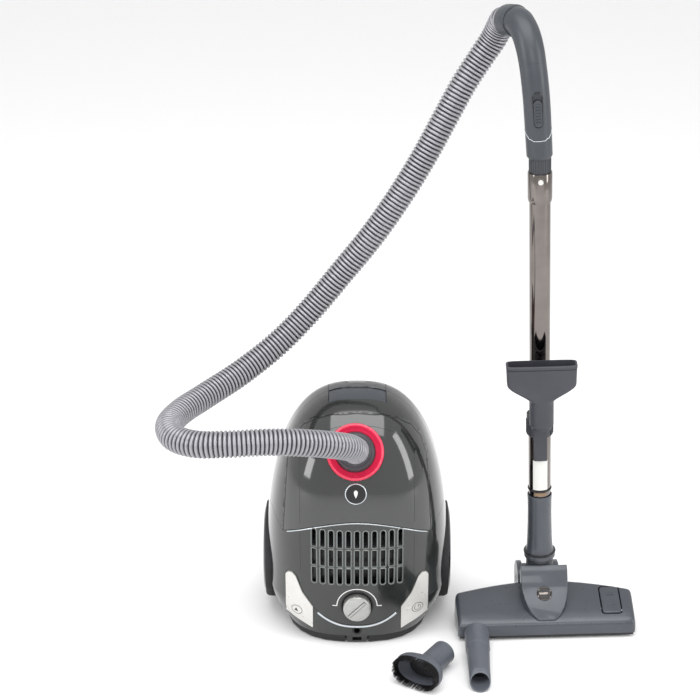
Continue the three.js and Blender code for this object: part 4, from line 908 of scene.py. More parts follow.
def make_inlet():
    """The red ring, the turning hose connector and its socket, all turned about the inlet axis."""
    place = along(INLET_AXIS, INLET)
    ring = turned("inlet_trim_ring", [
        (30.3, -12), (39, -12), (42.2, -8), (43, -5), (43, 2.4), (42.2, 4.4), (40.6, 5.2), (38.6, 4.8),
        (35.6, 2.7), (33, 1.5), (31.2, 1.2), (30.3, 0.4), (30.3, -12)], 96, 0, place)
    smooth(ring, 38)
    done(ring, "lid", "red_plastic", ("inlet_ring",))
    socket = turned("inlet_socket_wall", [
        (24, -30), (30, -30), (30, -16), (39, -16), (39, -12.3), (30, -12.3), (30, 2.2), (29.4, 3),
        (24.6, 3), (24, 2.4), (24, -30)], 72, 0, place)
    smooth(socket, 38)
    done(socket, "lid", "purple_grey", ("inlet_socket",))
    seal = turned("inlet_lip_seal", [
        (16.5, -34), (33, -34), (33, -30.3), (19, -30.3), (17.5, -31.2), (16.5, -32.5), (16.5, -34)],
        64, 0, place)
    smooth(seal, 38)
    done(seal, "lid", "rubber", ("inlet_seal",))
    collar = turned("connector_collar", [
        (16.5, -28), (23.5, -28), (23.5, 3.3), (27.6, 3.3), (28.5, 4.2), (28.5, 9), (27.7, 9.7),
        (27.7, 10.6), (28.5, 11.3), (28.5, 20.6), (27.9, 22.8), (26.4, 24.5), (24.6, 25), (23.5, 25.4),
        (23.5, 31), (22.7, 31.8), (22.7, 33), (23.5, 33.8), (23.5, CONNECTOR_TIP - 1.4),
        (22.6, CONNECTOR_TIP - 0.2), (21, CONNECTOR_TIP), (16.5, CONNECTOR_TIP), (16.5, -28)],
        72, 0, place)
    smooth(collar, 38)
    grips = [collar]
    for k in range(24):
        turn = Matrix.Rotation(2 * math.pi * k / 24, 4, "Z")
        grips.append(block("grip_rib", (27.9, -1.1, 12.6), (29.1, 1.1, 19.4), 0.4, 2, place @ turn))
    done(joined("hose_connector_finished", grips), "connector", "purple_grey", ("hose_connector",))


def make_emblem():
    """A plain round badge: a bright rim round a black disc, with a generic droplet in its middle."""
    place = on_front(-2, 262)
    disc = turned("badge_disc", [(0, -1), (15.2, -1), (15.2, 0.5), (14, 0.75), (0, 0.95)], 64, 0, place)
    smooth(disc, 38)
    done(disc, "lid", "black_plastic", ("emblem",))
    rim = turned("badge_rim", [
        (14.7, -1), (16.4, -1), (16.4, 0.6), (16, 1.25), (15.5, 1.5), (14.9, 1.25), (14.7, 0.7),
        (14.7, -1)], 72, 0, place)
    smooth(rim, 38)
    done(rim, "lid", "light_silver", look="bright_trim_and_highlight")
    outline = []
    for k in range(28):
        angle = 2 * math.pi * k / 28
        outline.append((4.2 * math.sin(angle) * math.sin(angle / 2) ** 1.4,
                        -0.6 - 6.2 * math.cos(angle)))
    drop = prism("badge_drop", outline[1:], 0.2, 1.15, 0.15, 2, "Z", place)
    smooth(drop, 38)
    done(drop, "lid", "light_silver", look="white_print")


def make_knob():
    """The suction dial: a brushed cap with a finger ridge, a dark cup and a printed scale."""
    face = front_y(0, 71)
    place = Matrix.Translation((0, face, 71)) @ Matrix.Rotation(math.pi / 2, 4, "X")
    cup = turned("dial_cup", [
        (3.5, -9.5), (25, -9.5), (25, 0.2), (24.4, 0.9), (23.2, 0.9), (22.5, 0.2), (22.5, -7), (3.5, -7),
        (3.5, -9.5)], 72, 0, place)
    smooth(cup, 38)
    done(cup, "canister", "black_plastic", ("knob_bezel",))
    cap = turned("dial_cap", [
        (0, -15), (3, -15), (3, -6), (20.6, -6), (21, -5.4), (21, 9.6), (20.6, 11), (19.8, 11.7),
        (18.6, 12), (0, 12.2)], 96, 0, place)
    slot = block("dial_slot", (-2.9, -17.4, 11), (2.9, 17.4, 13), 0.5, 2,
                 place @ Matrix.Rotation(math.radians(-45), 4, "Z"))
    cut(cap, slot)
    smooth(cap, 38)
    ridge = block("dial_ridge", (-1.5, -17, 10), (1.5, 17, 14.3), 1.1, 4,
                  place @ Matrix.Rotation(math.radians(-45), 4, "Z"))
    smooth(ridge, 38)
    knurls = [cap, ridge]
    for k in range(48):
        turn = Matrix.Rotation(2 * math.pi * k / 48, 4, "Z")
        knurls.append(block("dial_knurl", (20.7, -0.4, -3), (21.3, 0.4, 9.2), 0.2, 1, place @ turn))
    done(joined("dial", knurls), "knob", "light_silver", ("power_knob",), "knob_silver")
    print_on = []
    arc = []
    for k in range(61):
        angle = math.radians(180 - 3 * k)
        arc.append((30.5 * math.cos(angle), 71 + 30.5 * math.sin(angle)))
    print_on.append(strip("scale_arc", arc, 0.75, 0.12))
    for side in (-1, 1):
        tick = [(side * (30.5 + k), 71) for k in range(0, 8)]
        print_on.append(strip("scale_tick", tick, 0.75, 0.12))
    done(joined("dial_scale", print_on), "canister", "light_silver", look="white_print")


def ring_print(name, x, z, radius, width, lift, sweep=2 * math.pi, from_angle=0.0, grow=2.0):
    points = []
    steps = 40
    for k in range(steps + 1):
        angle = from_angle + sweep * k / steps
        points.append((x + radius * math.cos(angle), z + radius * math.sin(angle)))
    return strip(name, points, width, lift, 0.3, grow)


def make_pedal_symbols():
    """Generic symbols: a triangle in a circle for the cord, a bar in a circle for the switch."""
    left = [ring_print("cord_symbol_ring", -92, 53, 8, 0.45, 0.22)]
    base = on_front(-92, 53, 1.9)
    triangle = prism("cord_symbol", [(-3.4, -2.4), (3.4, -2.4), (0, 3.6)], -0.3, 0.35, 0.1, 1, "Z", base)
    left.append(triangle)
    done(joined("rewind_symbol", left), "rewind", "light_silver", look="dark_trim_and_shade")
    right = [ring_print("switch_symbol_ring", 92.5, 58, 8.5, 0.45, 0.22),
             ring_print("switch_symbol_arc", 92.5, 58, 4.8, 0.4, 0.22, math.radians(290),
                        math.radians(125))]
    bar = on_front(92.5, 58, 1.9)
    right.append(prism("switch_symbol_bar", [(-0.45, 0), (0.45, 0), (0.45, 6), (-0.45, 6)], -0.3, 0.35,
                       0.1, 1, "Z", bar))
    done(joined("power_symbol", right), "switch_pedal", "light_silver", look="dark_trim_and_shade")


def make_wheels():
    """Rear wheels with a dished glossy hub and a ribbed rubber tyre."""
    for word, side in (("left", -1), ("right", 1)):
        place = Matrix.Translation((0, 38, 90)) @ Matrix.Rotation(side * math.pi / 2, 4, "Y")
        hub = turned(f"wheel_{word}_hub", [
            (6.5, 122), (16, 122), (20, 131), (53, 131), (57, 121), (63, 121), (67, 124), (67, 142),
            (65.6, 143.6), (61.5, 145), (58, 145.4), (54, 144.2), (50, 143.2), (46, 143.6), (30, 145.3),
            (20, 146), (17, 145.4), (15.6, 143), (6.5, 143), (6.5, 122)], 96, 0, place)
        smooth(hub, 34)
        done(hub, f"{word}_wheel", "navy_gloss", (f"wheel_{word}",))
        tyre = turned(f"tyre_{word}_ring", [
            (67.3, 124), (74, 124), (75.4, 125), (76, 127), (76, 130), (75.3, 130.6), (75.3, 131.4),
            (76, 132), (76, 135.4), (75.5, 137.6), (74.4, 139.8), (73, 141.6), (71, 142), (67.3, 142),
            (67.3, 124)], 120, 0, place)
        smooth(tyre, 40)
        treads = [tyre]
        for k in range(60):
            turn = Matrix.Rotation(2 * math.pi * k / 60, 4, "Z")
            treads.append(block("tread", (75.2, -1.3, 125.6), (76, 1.3, 137), 0.3, 1, place @ turn))
        done(joined(f"tyre_{word}_finished", treads), f"{word}_wheel", "rubber", (f"tyre_{word}",))


# ------------------------------------------------------------------ wand

def make_wand():
    """Neck, chrome tubes, bell, snap button, lock collar with its key, and a blank label."""
    neck = turned("neck_sleeve", [
        (13.2, 39), (23, 39), (24, 40), (24, 45), (23.2, 47.5), (21.2, 52), (19.9, 60), (19.2, 76),
        (18.6, 100), (18.4, 122), (18.7, 140), (19, 146), (18.8, 147.6), (18.1, 148), (17.7, 147.4),
        (17.7, 55), (13.2, 55), (13.2, 39)], 72, 0, WAND_FRAME)
    smooth(neck, 40)
    done(neck, "lower_wand", "head_grey", ("head_neck",))
    ring = turned("neck_seal", [
        (22.8, 46.6), (24.3, 46.6), (24.9, 47.6), (24.9, 48.6), (24.3, 49.6), (22.4, 49.8),
        (22.4, 46.6)], 72, 0, WAND_FRAME)
    smooth(ring, 40)
    done(ring, "lower_wand", "rubber", look="dark_trim_and_shade")
    tube = turned("lower_chrome_tube", [
        (15.9, 58), (16.9, 58), (17.2, 58.4), (17.2, 258), (15.9, 258), (15.9, 58)], 96, 0, WAND_FRAME)
    smooth(tube, 40)
    done(tube, "lower_wand", "chrome", ("lower_tube",))
    stop = turned("tube_stop_ring", [
        (17.25, 157), (18, 157), (18.5, 157.6), (18.5, 159), (18, 159.6), (17.25, 159.6),
        (17.25, 157)], 72, 0, WAND_FRAME)
    smooth(stop, 40)
    done(stop, "lower_wand", "rubber", look="dark_trim_and_shade")
    done(curved_label("blank_label", 17.25, 161, 211, 39), "lower_wand", "light_silver",
         look="label_paper")
    done(curved_label("small_blank_label", 17.25, 150.5, 156, 30), "lower_wand", "light_silver",
         look="tan_label")
    upper = turned("upper_chrome_tube", [
        (14.3, 66), (15.3, 66), (15.6, 66.4), (15.6, 639), (14.3, 639), (14.3, 66)], 96, 0, WAND_FRAME)
    smooth(upper, 40)
    done(upper, "upper_wand", "chrome", ("upper_tube",))
    bell = turned("tube_bell", [
        (15.9, 627), (16.5, 627), (17.4, 629), (18, 633), (18, 671.6), (17.6, 672.8), (16.9, 673),
        (15.9, 673), (15.9, 627)], 96, 0, WAND_FRAME)
    socket = Matrix.Translation((0, 0, 662)) @ Matrix.Rotation(math.pi / 2, 4, "X")
    hole = turned("button_hole", [(0, 10), (4.5, 10), (4.5, 30), (0, 30)], 48, 0, WAND_FRAME @ socket)
    cut(bell, hole)
    smooth(bell, 34)
    done(bell, "upper_wand", "chrome", ("wand_bell",))
    button = turned("snap_button_cap", [
        (0, 11.6), (4, 11.6), (4, 18.6), (3.7, 19.2), (3, 19.5), (0, 19.6)], 48, 0,
        WAND_FRAME @ socket)
    smooth(button, 38)
    done(button, "button", "light_silver", ("snap_button",))
    collar = [refined("tube_lock", 0.7)]
    for k in range(30):
        angle = math.radians(12 * k)
        if math.sin(angle) < -0.72:
            continue
        turn = Matrix.Rotation(angle, 4, "Z")
        collar.append(block("collar_rib", (19.5, -0.9, 253), (20.9, 0.9, 275), 0.4, 2,
                            WAND_FRAME @ turn))
    collar = joined("tube_lock_finished", collar)
    smooth(collar, 34)
    done(collar, "lower_wand", "charcoal", ("tube_lock",))
    carried("lock_key", 1.4, 3)
    carried("tool_clip", 0.7)


def curved_label(name, radius, low, high, half_angle):
    """A paper label wrapped on the front of a tube."""
    rings = []
    for z in (low, high):
        ring = []
        for k in range(17):
            angle = math.radians(-90 - half_angle + 2 * half_angle * k / 16)
            ring.append(Vector((math.cos(angle), math.sin(angle), 0)) * (radius + 0.22)
                        + Vector((0, 0, z)))
        for k in range(16, -1, -1):
            angle = math.radians(-90 - half_angle + 2 * half_angle * k / 16)
            ring.append(Vector((math.cos(angle), math.sin(angle), 0)) * (radius - 0.2)
                        + Vector((0, 0, z)))
        rings.append(ring)
    piece = skin(name, rings)
    place_mesh(piece, WAND_FRAME)
    smooth(piece, 40)
    return piece


# ------------------------------------------------------------------ grip

def grip_radius(share):
    """A little fuller at the hand, waisted under the slider, and flared at the hose end."""
    return GRIP_R + 0.6 * math.sin(math.pi * share) + 1.9 * max(share - 0.62, 0) / 0.38


def grip_front(x):
    """The y of the grip's round front at x, with the bezel's stand added."""
    return -math.sqrt(max(GRIP_R ** 2 - x * x, 0)) - 0.5


def stadium(half, low, high, count=12):
    """A slot with round ends, as (x, z)."""
    points = []
    for k in range(count + 1):
        angle = math.pi * k / count
        points.append((half * math.cos(angle), high - half + half * math.sin(angle)))
    for k in range(count + 1):
        angle = math.pi + math.pi * k / count
        points.append((half * math.cos(angle), low + half + half * math.sin(angle)))
    return points


def make_grip():
    path, _ = through(GRIP_PATH, 97)
    path[-1] = path[-1] + CUFF_AXIS * 0.6
    places = frames_along(path, Vector((0, -1, 0)))
    count = 56
    rings = []
    for k, place in enumerate(places):
        share = k / (len(places) - 1)
        lip = 1.2 if k == 0 else 0
        rings.append(circle(place, grip_radius(share) - lip, count))
    for k in range(len(places) - 1, -1, -2):
        rings.append(circle(places[k], 14, count))
    faces_end = len(rings) * count
    points = [p for ring in rings for p in ring]
    faces = []
    for r in range(len(rings)):
        for k in range(count):
            a = (r * count + k) % faces_end
            b = (r * count + (k + 1) % count) % faces_end
            faces.append((a, b, (b + count) % faces_end, (a + count) % faces_end))
    grip = meshed("grip_handle", points, faces)
    edited(grip, outward)
    low, high = (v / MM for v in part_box("air_slider"))
    at = Vector(((low.x + high.x) / 2, low.y + 22.2, (low.z + high.z) / 2))
    seat = Matrix.Translation(at) @ Matrix.Rotation(math.radians(-4.5), 4, "Y")
    recess = prism("slider_recess", stadium(6.6, SLIDE_LOW, SLIDE_HIGH), -30, -GRIP_R + 3.6, 0, 1, "Y",
                   seat)
    cut(grip, recess)
    smooth(grip, 34)
    spigot = turned("grip_spigot", [
        (12.8, 640), (15.2, 640), (15.6, 641), (15.6, 700), (12.8, 700), (12.8, 640)], 72, 0,
        WAND_FRAME)
    socket = Matrix.Translation((0, 0, 662)) @ Matrix.Rotation(math.pi / 2, 4, "X")
    cut(spigot, turned("button_hole", [(0, 8), (4.5, 8), (4.5, 30), (0, 30)], 48, 0,
                       WAND_FRAME @ socket))
    smooth(spigot, 34)
    done(grip, "upper_wand", "grip_grey", ("grip",))
    done(spigot, "upper_wand", "dark_plastic")
    flutes = []
    for k in range(24):
        turn = Matrix.Rotation(2 * math.pi * k / 24, 4, "Z")
        flutes.append(block("spigot_flute", (15.3, -0.8, 674), (16.3, 0.8, 694), 0.35, 2,
                            WAND_FRAME @ turn))
    done(joined("spigot_flutes", flutes), "upper_wand", "dark_plastic")
    make_grip_trim(path, places, seat)


def make_grip_trim(path, places, seat):
    """The soft panel at the back of the hand, the sleeve line, the slider and its bezel."""
    last = len(places) - 1
    first = next(k for k in range(len(path)) if path[k].z > 893)
    rings = []
    for k in range(first, last + 1):
        grown = min((k - first + 0.4) / 9, 1)
        half = 68 * math.sqrt(max(1 - (1 - grown) ** 2, 0.002))
        radius = grip_radius(k / last)
        point, side, top, _ = places[k]
        ring = []
        for rise, reach in ((-0.6, 1), (0.25, 1), (0.6, 0.985)):
            angle = math.radians(90 - half * reach)
            ring.append(point + (side * math.cos(angle) + top * math.sin(angle)) * (radius + rise))
        for j in range(1, 12):
            angle = math.radians(90 - half * 0.985 + 2 * half * 0.985 * j / 12)
            ring.append(point + (side * math.cos(angle) + top * math.sin(angle)) * (radius + 0.6))
        for rise, reach in ((0.6, 0.985), (0.25, 1), (-0.6, 1)):
            angle = math.radians(90 + half * reach)
            ring.append(point + (side * math.cos(angle) + top * math.sin(angle)) * (radius + rise))
        rings.append(ring)
    panel = skin("grip_soft_panel", rings)
    smooth(panel, 40)
    done(panel, "upper_wand", "grip_grey")
    sleeve = []
    for k in range(41):
        angle = 2 * math.pi * k / 40
        index = min(range(len(path)), key=lambda n: abs(path[n].z - (797 - 13 * math.sin(angle))))
        point, side, top, _ = places[index]
        radius = grip_radius(index / last)
        sleeve.append(point + (side * math.cos(angle) + top * math.sin(angle)) * radius)
    line = ring_line("grip_sleeve_line", sleeve[:-1], 0.45)
    done(line, "upper_wand", "grip_grey", look="bright_trim_and_highlight")
    bezel_out = stadium(7.9, SLIDE_LOW - 1.2, SLIDE_HIGH + 1.2)
    bezel_in = stadium(6.5, SLIDE_LOW + 0.1, SLIDE_HIGH - 0.1)
    count = len(bezel_out)
    points = []
    for (x1, z1), (x2, z2) in zip(bezel_out, bezel_in):
        outer, inner = grip_front(x1), grip_front(x2)
        points += [(x1, outer + 2.2, z1), (x1, outer + 0.3, z1), (x2, inner - 0.35, z2),
                   (x2, inner + 4.2, z2)]
    faces = [(a * 4 + k, (a + 1) % count * 4 + k, (a + 1) % count * 4 + (k + 1) % 4,
              a * 4 + (k + 1) % 4) for a in range(count) for k in range(4)]
    bezel = meshed("slider_bezel", points, faces)
    edited(bezel, lambda: bpy.ops.mesh.remove_doubles(threshold=1e-6), outward)
    place_mesh(bezel, seat)
    smooth(bezel, 40)
    done(bezel, "upper_wand", "dark_plastic", look="dark_trim_and_shade")
    pad = [prism("slider_pad", stadium(6, -20, 20), -20.8, -15.8, 0.8, 3, "Y", seat)]
    for k in range(-3, 4):
        pad.append(block("slider_rib", (-4.4, -22.1, k * 4.5 - 1), (4.4, -20.2, k * 4.5 + 1), 0.6, 2,
                         seat))
    pad = joined("air_slider_finished", pad)
    smooth(pad, 36)
    done(pad, "slider", "dark_plastic", ("air_slider",), "grip_grey")
    start_at = Vector(GRIP_PATH[-1]) + CUFF_AXIS * 1.3
    cuff = turned("hose_cuff_finished", [
        (16.5, 0), (22, 0), (23, 0.6), (23.5, 2), (23.5, 22), (23.2, 24.6), (22.3, 27), (21, 29),
        (20.4, 30), (16.5, 30), (16.5, 0)], 80, 0, along(CUFF_AXIS, start_at))
    smooth(cuff, 38)
    done(cuff, "cuff", "grip_grey", ("hose_cuff",))


def ring_line(name, points, radius):
    """A closed thin bead through points."""
    count = len(points)
    rings = []
    centre = sum(points, Vector((0, 0, 0))) / count
    for k, point in enumerate(points):
        ahead = (points[(k + 1) % count] - points[k - 1]).normalized()
        out = (point - centre)
        out = (out - ahead * out.dot(ahead)).normalized()
        side = ahead.cross(out)
        rings.append([point + (out * math.cos(a) + side * math.sin(a)) * radius
                      for a in (2 * math.pi * j / 8 for j in range(8))])
    verts = [p for ring in rings for p in ring]
    faces = [(r * 8 + k, r * 8 + (k + 1) % 8, (r + 1) % count * 8 + (k + 1) % 8, (r + 1) % count * 8 + k)
             for r in range(count) for k in range(8)]
    piece = meshed(name, verts, faces)
    edited(piece, outward)
    smooth(piece, 60)
    return piece


# ------------------------------------------------------------------ loose tools

def oval(half_x, half_z, power=2.0, count=56):
    points = []
    for k in range(count):
        angle = 2 * math.pi * k / count
        c, s = math.cos(angle), math.sin(angle)
        points.append((half_x * math.copysign(abs(c) ** (2 / power), c),
                       half_z * math.copysign(abs(s) ** (2 / power), s)))
    return points


def eased(a, b, t):
    """From a to b with a gentle start and finish."""
    t = min(max(t, 0), 1)
    return a + (b - a) * t * t * (3 - 2 * t)


def tube_skin(name, outside, inside):
    """A wall between an outer and an inner run of rings, closed at both ends."""
    rings = outside + inside[::-1]
    count = len(rings[0])
    total = len(rings) * count
    faces = []
    for r in range(len(rings)):
        for k in range(count):
            a, b = r * count + k, r * count + (k + 1) % count
            faces.append((a, b, (b + count) % total, (a + count) % total))
    piece = meshed(name, [p for ring in rings for p in ring], faces)
    edited(piece, outward)
    return piece


def make_nozzle():
    """The upholstery nozzle, stored upside down on its post: round neck, flared mouth, lip groove."""
    base, neck_end, widest, top = 284.6, 322.6, 354, 384.6

    def ring(z, inset, lip=0.0):
        t = (z - neck_end) / (widest - neck_end)
        half = eased(18.3, 51.6, t) + (1.0 * max(z - widest, 0) / (top - widest)) + lip - inset
        thick = eased(18.3, 14, t) - max(z - widest, 0) / (top - widest) + lip - inset
        power = eased(2, 7, t)
        return [Vector((x, y - 39, z)) for x, y in oval(half, thick, power)]

    heights = [base, base + 0.8, 300, 315]
    heights += [neck_end + (widest - neck_end) * k / 16 for k in range(17)]
    groove = top - 5.5
    heights += [widest + 6, widest + 14, groove - 0.9]
    outside = [ring(z, 0.6 if z == base else 0) for z in heights]
    outside += [ring(groove - 0.6, 0.9), ring(groove + 0.4, 0.9), ring(groove + 0.7, 0, 0.4),
                ring(top - 1, 0, 0.4), ring(top - 0.3, 0.2), ring(top, 0.9)]
    inside = [ring(z, 2.8) for z in [base, *heights[2:-3], widest + 8, top - 8]] + [ring(top, 2.4)]
    nozzle = tube_skin("upholstery_nozzle_finished", outside, inside)
    place_mesh(nozzle, WAND_FRAME)
    smooth(nozzle, 36)
    done(nozzle, "nozzle", "charcoal", ("upholstery_nozzle",))


def make_crevice_tool():
    """Crevice tool: round socket, fine step line, flattened barrel and oblique mouth."""
    def ring(y, half_x, half_z, z, slant=0.0):
        return [Vector((183 + u, -102 - y + slant * v, z + v)) for u, v in oval(half_x, half_z)]

    stations = [(50.5, 18.3, 18.3, 18.8), (52, 17.3, 17.3, 18.8)]
    for k in range(1, 13):
        t = k / 12
        stations.append((52 + 62 * t, eased(17.3, 16.1, t), eased(17.3, 13.5, t), eased(18.8, 13.8, t)))
    outside = [ring(0, 17.9, 17.9, 18.8), ring(0.7, 18.5, 18.5, 18.8), ring(49.6, 18.5, 18.5, 18.8)]
    outside += [ring(*s) for s in stations]
    outside += [ring(122, 15.9, 12.4, 12.7, 0.5), ring(128.2, 15.7, 11.5, 11.8, 1),
                ring(129, 15.2, 11, 11.8, 1)]
    inside = [ring(0, 16.2, 16.2, 18.8), ring(40, 16, 16, 18.8), ring(80, 15.2, 14.2, 17.2),
              ring(114, 14, 11.4, 13.8), ring(122, 13.7, 10.2, 12.7, 0.5), ring(129, 14, 9.8, 11.8, 1)]
    tool = tube_skin("crevice_tool_finished", outside, inside)
    smooth(tool, 40)
    done(tool, "crevice", "tool_grey", ("crevice_tool",))
    # painted shade: a dark sheet across the bore, where the inside of the tool lies in shade
    dark = [ring(100, 13.9, 12.2, 15, 0), ring(100.6, 13.9, 12.2, 15, 0)]
    bore_shade = skin("crevice_shade", dark)
    done(bore_shade, "crevice", "tool_grey", look="dark_trim_and_shade")


BRUSH_PLACE = Matrix.Translation((90, -224, 25.3)) @ Matrix.Rotation(math.radians(-32), 4, "Z")


def make_dusting_brush():
    """Dusting brush: round socket, oval head with a rolled rim, and two rows of stiff bristles."""
    drop = 25.3 - 18.5 - 0.3

    def ring(y, half_x, half_z, low=0.0, power=2.0):
        return [Vector((u, y, v - low)) for u, v in oval(half_x, half_z, power, 64)]

    outside = [ring(0, 36.6, 23.6, 0, 2.6), ring(0.6, 37.6, 24.6, 0, 2.6), ring(2, 38, 25, 0, 2.6),
               ring(4.2, 38, 25, 0, 2.6), ring(5, 37.2, 24.2, 0, 2.6), ring(9, 37, 24, 0, 2.6)]
    for k in range(1, 13):
        t = k / 12
        outside.append(ring(9 + 24 * t, eased(37, 18.5, t), eased(24, 18.5, t), drop * t,
                            eased(2.6, 2, t)))
    outside += [ring(60, 18.5, 18.5, drop), ring(77.4, 18.5, 18.5, drop), ring(78, 17.9, 17.9, drop)]
    inside = [ring(0, 32, 19, 0, 2.6), ring(8, 31, 18, 0, 2.6), ring(20, 24, 17, drop * 0.4, 2.3),
              ring(32, 16.1, 16.1, drop), ring(78, 16.1, 16.1, drop)]
    brush = tube_skin("dusting_brush_finished", outside, inside)
    place_mesh(brush, BRUSH_PLACE)
    smooth(brush, 40)
    done(brush, "dusting", "tool_grey", ("dusting_brush",))
    # painted shade: a dark sheet in the brush's throat, where its inside lies in shade
    shade = skin("brush_throat_shade", [ring(17, 23, 15, drop * 0.3, 2.4), ring(17.6, 23, 15, drop * 0.3, 2.4)])
    place_mesh(shade, BRUSH_PLACE)
    done(shade, "dusting", "tool_grey", look="dark_trim_and_shade")
    points, faces = [], []
    for row, (half_x, half_z, count) in enumerate(((36, 23, 74), (33.4, 20.4, 66))):
        for k in range(count):
            angle = 2 * math.pi * (k + 0.5 * row) / count
            c, s = math.cos(angle), math.sin(angle)
            root = Vector((half_x * math.copysign(abs(c) ** (2 / 2.6), c), -0.3,
                           half_z * math.copysign(abs(s) ** (2 / 2.6), s)))
            for j in range(3):
                swing = math.sin(12.9898 * (k * 3 + j) + 78.233 * row)
                lean = math.cos(7.13 * (k * 3 + j) + 3.7 * row)
                foot = root + Vector((0.7 * math.cos(j * 2.1), 0, 0.7 * math.sin(j * 2.1)))
                tip = foot + Vector((0.9 * swing + 0.5 * c, -12.4 - 0.5 * lean, 0.9 * lean + 0.3 * s))
                add_bristle(points, faces, foot, tip, 0.5, 0.3)
    tufts = meshed("brush_bristles_finished", points, faces)
    edited(tufts, outward)
    place_mesh(tufts, BRUSH_PLACE)
    done(tufts, "dusting", "bristle", ("brush_bristles",))


def add_bristle(points, faces, foot, tip, thick, thin):
    """One bristle: a slim four-sided spike from foot to tip."""
    ahead = (tip - foot).normalized()
    side = ahead.orthogonal().normalized()
    top = ahead.cross(side)
    first = len(points)
    for at, radius in ((foot, thick), (tip, thin)):
        for k in range(4):
            angle = math.pi / 2 * k
            points.append(at + (side * math.cos(angle) + top * math.sin(angle)) * radius)
    for k in range(4):
        faces.append((first + k, first + (k + 1) % 4, first + 4 + (k + 1) % 4, first + 4 + k))
    faces.append((first, first + 3, first + 2, first + 1))
    faces.append((first + 4, first + 5, first + 6, first + 7))


# ------------------------------------------------------------------ floor head

HEAD_HALF, HEAD_DEPTH, HEAD_LOW = 137, 92, 8.3


def head_outline(x, inset=0.0, wall=0.0):
    """The head's rounded cross section at x, as (y, z), front first."""
    share = abs(x) / HEAD_HALF
    half = HEAD_DEPTH / 2 - inset - wall
    back = 57 - 7 * share ** 2 - inset - wall
    ridge = 28 - inset - wall
    sweep = -22 * share ** 1.5
    low = HEAD_LOW if not wall else -5
    corners = [
        ((-half, low), 0.6), ((half - 2 + sweep, low), 0.6), ((half + sweep, low + 6), 3),
        ((half - 1 + sweep, back - 8), 4), ((half - 8 + sweep, back), 4), ((-half + 20, ridge + 9), 6),
        ((-half + 4, ridge + 1), 5), ((-half + 0.6, ridge - 5), 4)]
    outline = []
    for k, (corner, radius) in enumerate(corners):
        here = Vector(corner)
        before = Vector(corners[k - 1][0]) - here
        after = Vector(corners[(k + 1) % len(corners)][0]) - here
        start_at = here + before.normalized() * min(radius, before.length * 0.45)
        end_at = here + after.normalized() * min(radius, after.length * 0.45)
        for j in range(5):
            t = j / 4
            outline.append(start_at * (1 - t) ** 2 + here * 2 * t * (1 - t) + end_at * t ** 2)
    return outline


def head_skin(name, wall=0.0):
    rings = []
    end = HEAD_HALF - wall
    for x, inset in [(-end, 5), (-end + 0.6, 3), (-end + 1.8, 1.4), (-end + 3.6, 0.4), (-end + 6, 0)] + \
            [(-end + 6 + (2 * end - 12) * k / 24, 0) for k in range(1, 24)] + \
            [(end - 6, 0), (end - 3.6, 0.4), (end - 1.8, 1.4), (end - 0.6, 3), (end, 5)]:
        rings.append([Vector((x, p.x, p.y)) for p in head_outline(x, 0 if wall else inset, wall)])
    return skin(name, rings)


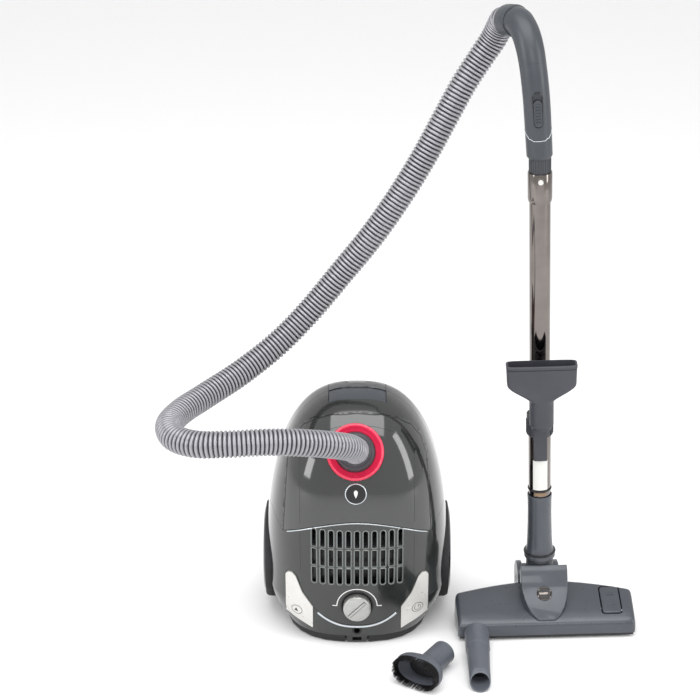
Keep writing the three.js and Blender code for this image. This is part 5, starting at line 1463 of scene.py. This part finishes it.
def make_head():
    """The floor head's housing, tongue, badge, height rocker, sole, rollers and brush strip."""
    body = head_skin("head_housing")
    cut(body, head_skin("head_hollow", 2.6))
    elbow_x = -5
    notch = block("head_notch", (elbow_x - 24.5, 14, 8), (elbow_x + 24.5, 90, 120), 0)
    cut(body, notch)
    for side in (-1, 1):
        inner, outer = elbow_x + side * 24.5, elbow_x + side * 32.5
        low, high = min(inner, outer), max(inner, outer)
        turn = Matrix.Translation((0, 59, 50)) @ Matrix.Rotation(math.pi / 2, 4, "Y")
        ear = turned("head_ear", [
            (0, low), (27, low), (28, low + 1), (28, high - 1), (27, high), (0, high)], 64, 0, turn)
        cut(body, ear, "UNION")
        arm = block("head_arm", (low, 24, 26), (high, 59, 56), 1)
        cut(body, arm, "UNION")
    pin = turned("pin_hole", [(0, -70), (5.3, -70), (5.3, 60), (0, 60)], 40, 0,
                 Matrix.Translation((0, 59, 50)) @ Matrix.Rotation(math.pi / 2, 4, "Y"))
    cut(body, pin)
    seat = Matrix.Translation((102, -4, 40.0)) @ Matrix.Rotation(math.atan2(20, 64), 4, "X")
    well = prism("rocker_well", rounded_box(16.4, 28.4, 6), -14, 20, 0, 1, "Z", seat)
    cut(body, well)
    place_mesh(body, HEAD_FRAME)
    smooth(body, 36)
    done(body, "canister", "head_grey", ("head_shell",))

    tongue = refined("head_cover", 1.6, 4)
    smooth(tongue, 60)
    done(tongue, "canister", "head_grey", ("head_cover",))
    badge = HEAD_FRAME @ Matrix.Translation((-1.5, -9.6, 60.2)) @ Matrix.Rotation(math.radians(37.2), 4, "X")
    disc = turned("head_badge_disc", [(0, -1), (10, -1), (10, 0.9), (0, 1.1)], 64, 0, badge)
    smooth(disc, 38)
    done(disc, "canister", "black_plastic")
    rim = turned("head_badge_rim", [
        (9.6, -1), (11.8, -1), (11.8, 0.6), (11.3, 1.5), (10.6, 1.9), (9.9, 1.5), (9.6, 0.8),
        (9.6, -1)], 72, 0, badge)
    bar = block("head_badge_bar", (-8, -2.2, 0.4), (8, 2.2, 1.5), 0.4, 2, badge)
    rim = joined("head_badge_rim", [rim, bar])
    smooth(rim, 38)
    done(rim, "canister", "chrome")

    rocker = [prism("rocker_plate", rounded_box(14.6, 26.6, 5), -4, 5, 1.6, 4, "Z", HEAD_FRAME @ seat)]
    for y in (-13, 13):
        rocker.append(block("rocker_mark", (-6, y - 2.6, 4.4), (6, y - 1.6, 5.5), 0.3, 2,
                            HEAD_FRAME @ seat))
        rocker.append(block("rocker_mark", (-6, y + 1.6, 4.4), (6, y + 2.6, 5.5), 0.3, 2,
                            HEAD_FRAME @ seat))
    for k in range(10):
        x = -5.4 + 1.2 * k
        rocker.append(block("rocker_mark", (x, 8.4, 4.4), (x + 0.5, 11.2, 5.4), 0.15, 1,
                            HEAD_FRAME @ seat))
    rocker = joined("foot_rocker_finished", rocker)
    smooth(rocker, 36)
    done(rocker, "rocker", "head_grey", ("foot_rocker",))

    carried("head_elbow", 0.8, 3)
    carried("head_sole", 0.6)
    for word, side in (("left", -1), ("right", 1)):
        place = HEAD_FRAME @ Matrix.Translation((side * 84, 20, 10)) @ Matrix.Rotation(math.pi / 2, 4, "Y")
        roller = turned(f"head_roller_{word}_finished", [
            (0, -4.5), (8.8, -4.5), (9.6, -4), (10, -3), (10, 3), (9.6, 4), (8.8, 4.5), (0, 4.5)], 56, 0,
            place)
        smooth(roller, 38)
        done(roller, f"{word}_roller", "rubber", (f"head_roller_{word}",))
    points, faces = [], []
    for row in (-1.6, 1.6):
        for k in range(90):
            x = -111 + 222 * k / 89
            sway = 0.5 * math.sin(9.1 * k + row)
            add_bristle(points, faces, Vector((x, -36 + row, 9)), Vector((x + sway, -36 + row, 0.2)),
                        1.0, 0.8)
    tufts = meshed("head_brush_tufts", points, faces)
    edited(tufts, outward)
    holder = block("head_brush_holder", (-112, -39, 8), (112, -33, 16), 0.5, 2)
    strip_piece = joined("brush_strip_finished", [holder, tufts])
    place_mesh(strip_piece, HEAD_FRAME)
    done(strip_piece, "brush", "bristle", ("brush_strip",))


def rounded_box(half_x, half_y, radius, steps=5):
    points = []
    for cx, cy, first in ((1, 1, 0), (-1, 1, 1), (-1, -1, 2), (1, -1, 3)):
        for k in range(steps + 1):
            angle = math.pi / 2 * (first + k / steps)
            points.append((cx * (half_x - radius) + radius * math.cos(angle),
                           cy * (half_y - radius) + radius * math.sin(angle)))
    return points


# ------------------------------------------------------------------ run

FINISH = make_finishes()
set_camera()
set_floor()
set_lights()
make_hose()
make_casing()
make_styling_lines()
make_grille()
make_inlet()
make_emblem()
make_knob()
make_pedal_symbols()
make_wheels()
make_wand()
make_grip()
make_nozzle()
make_crevice_tool()
make_dusting_brush()
make_head()
for node, part in NODES.items():
    if not part.hide_render:
        carried(node)
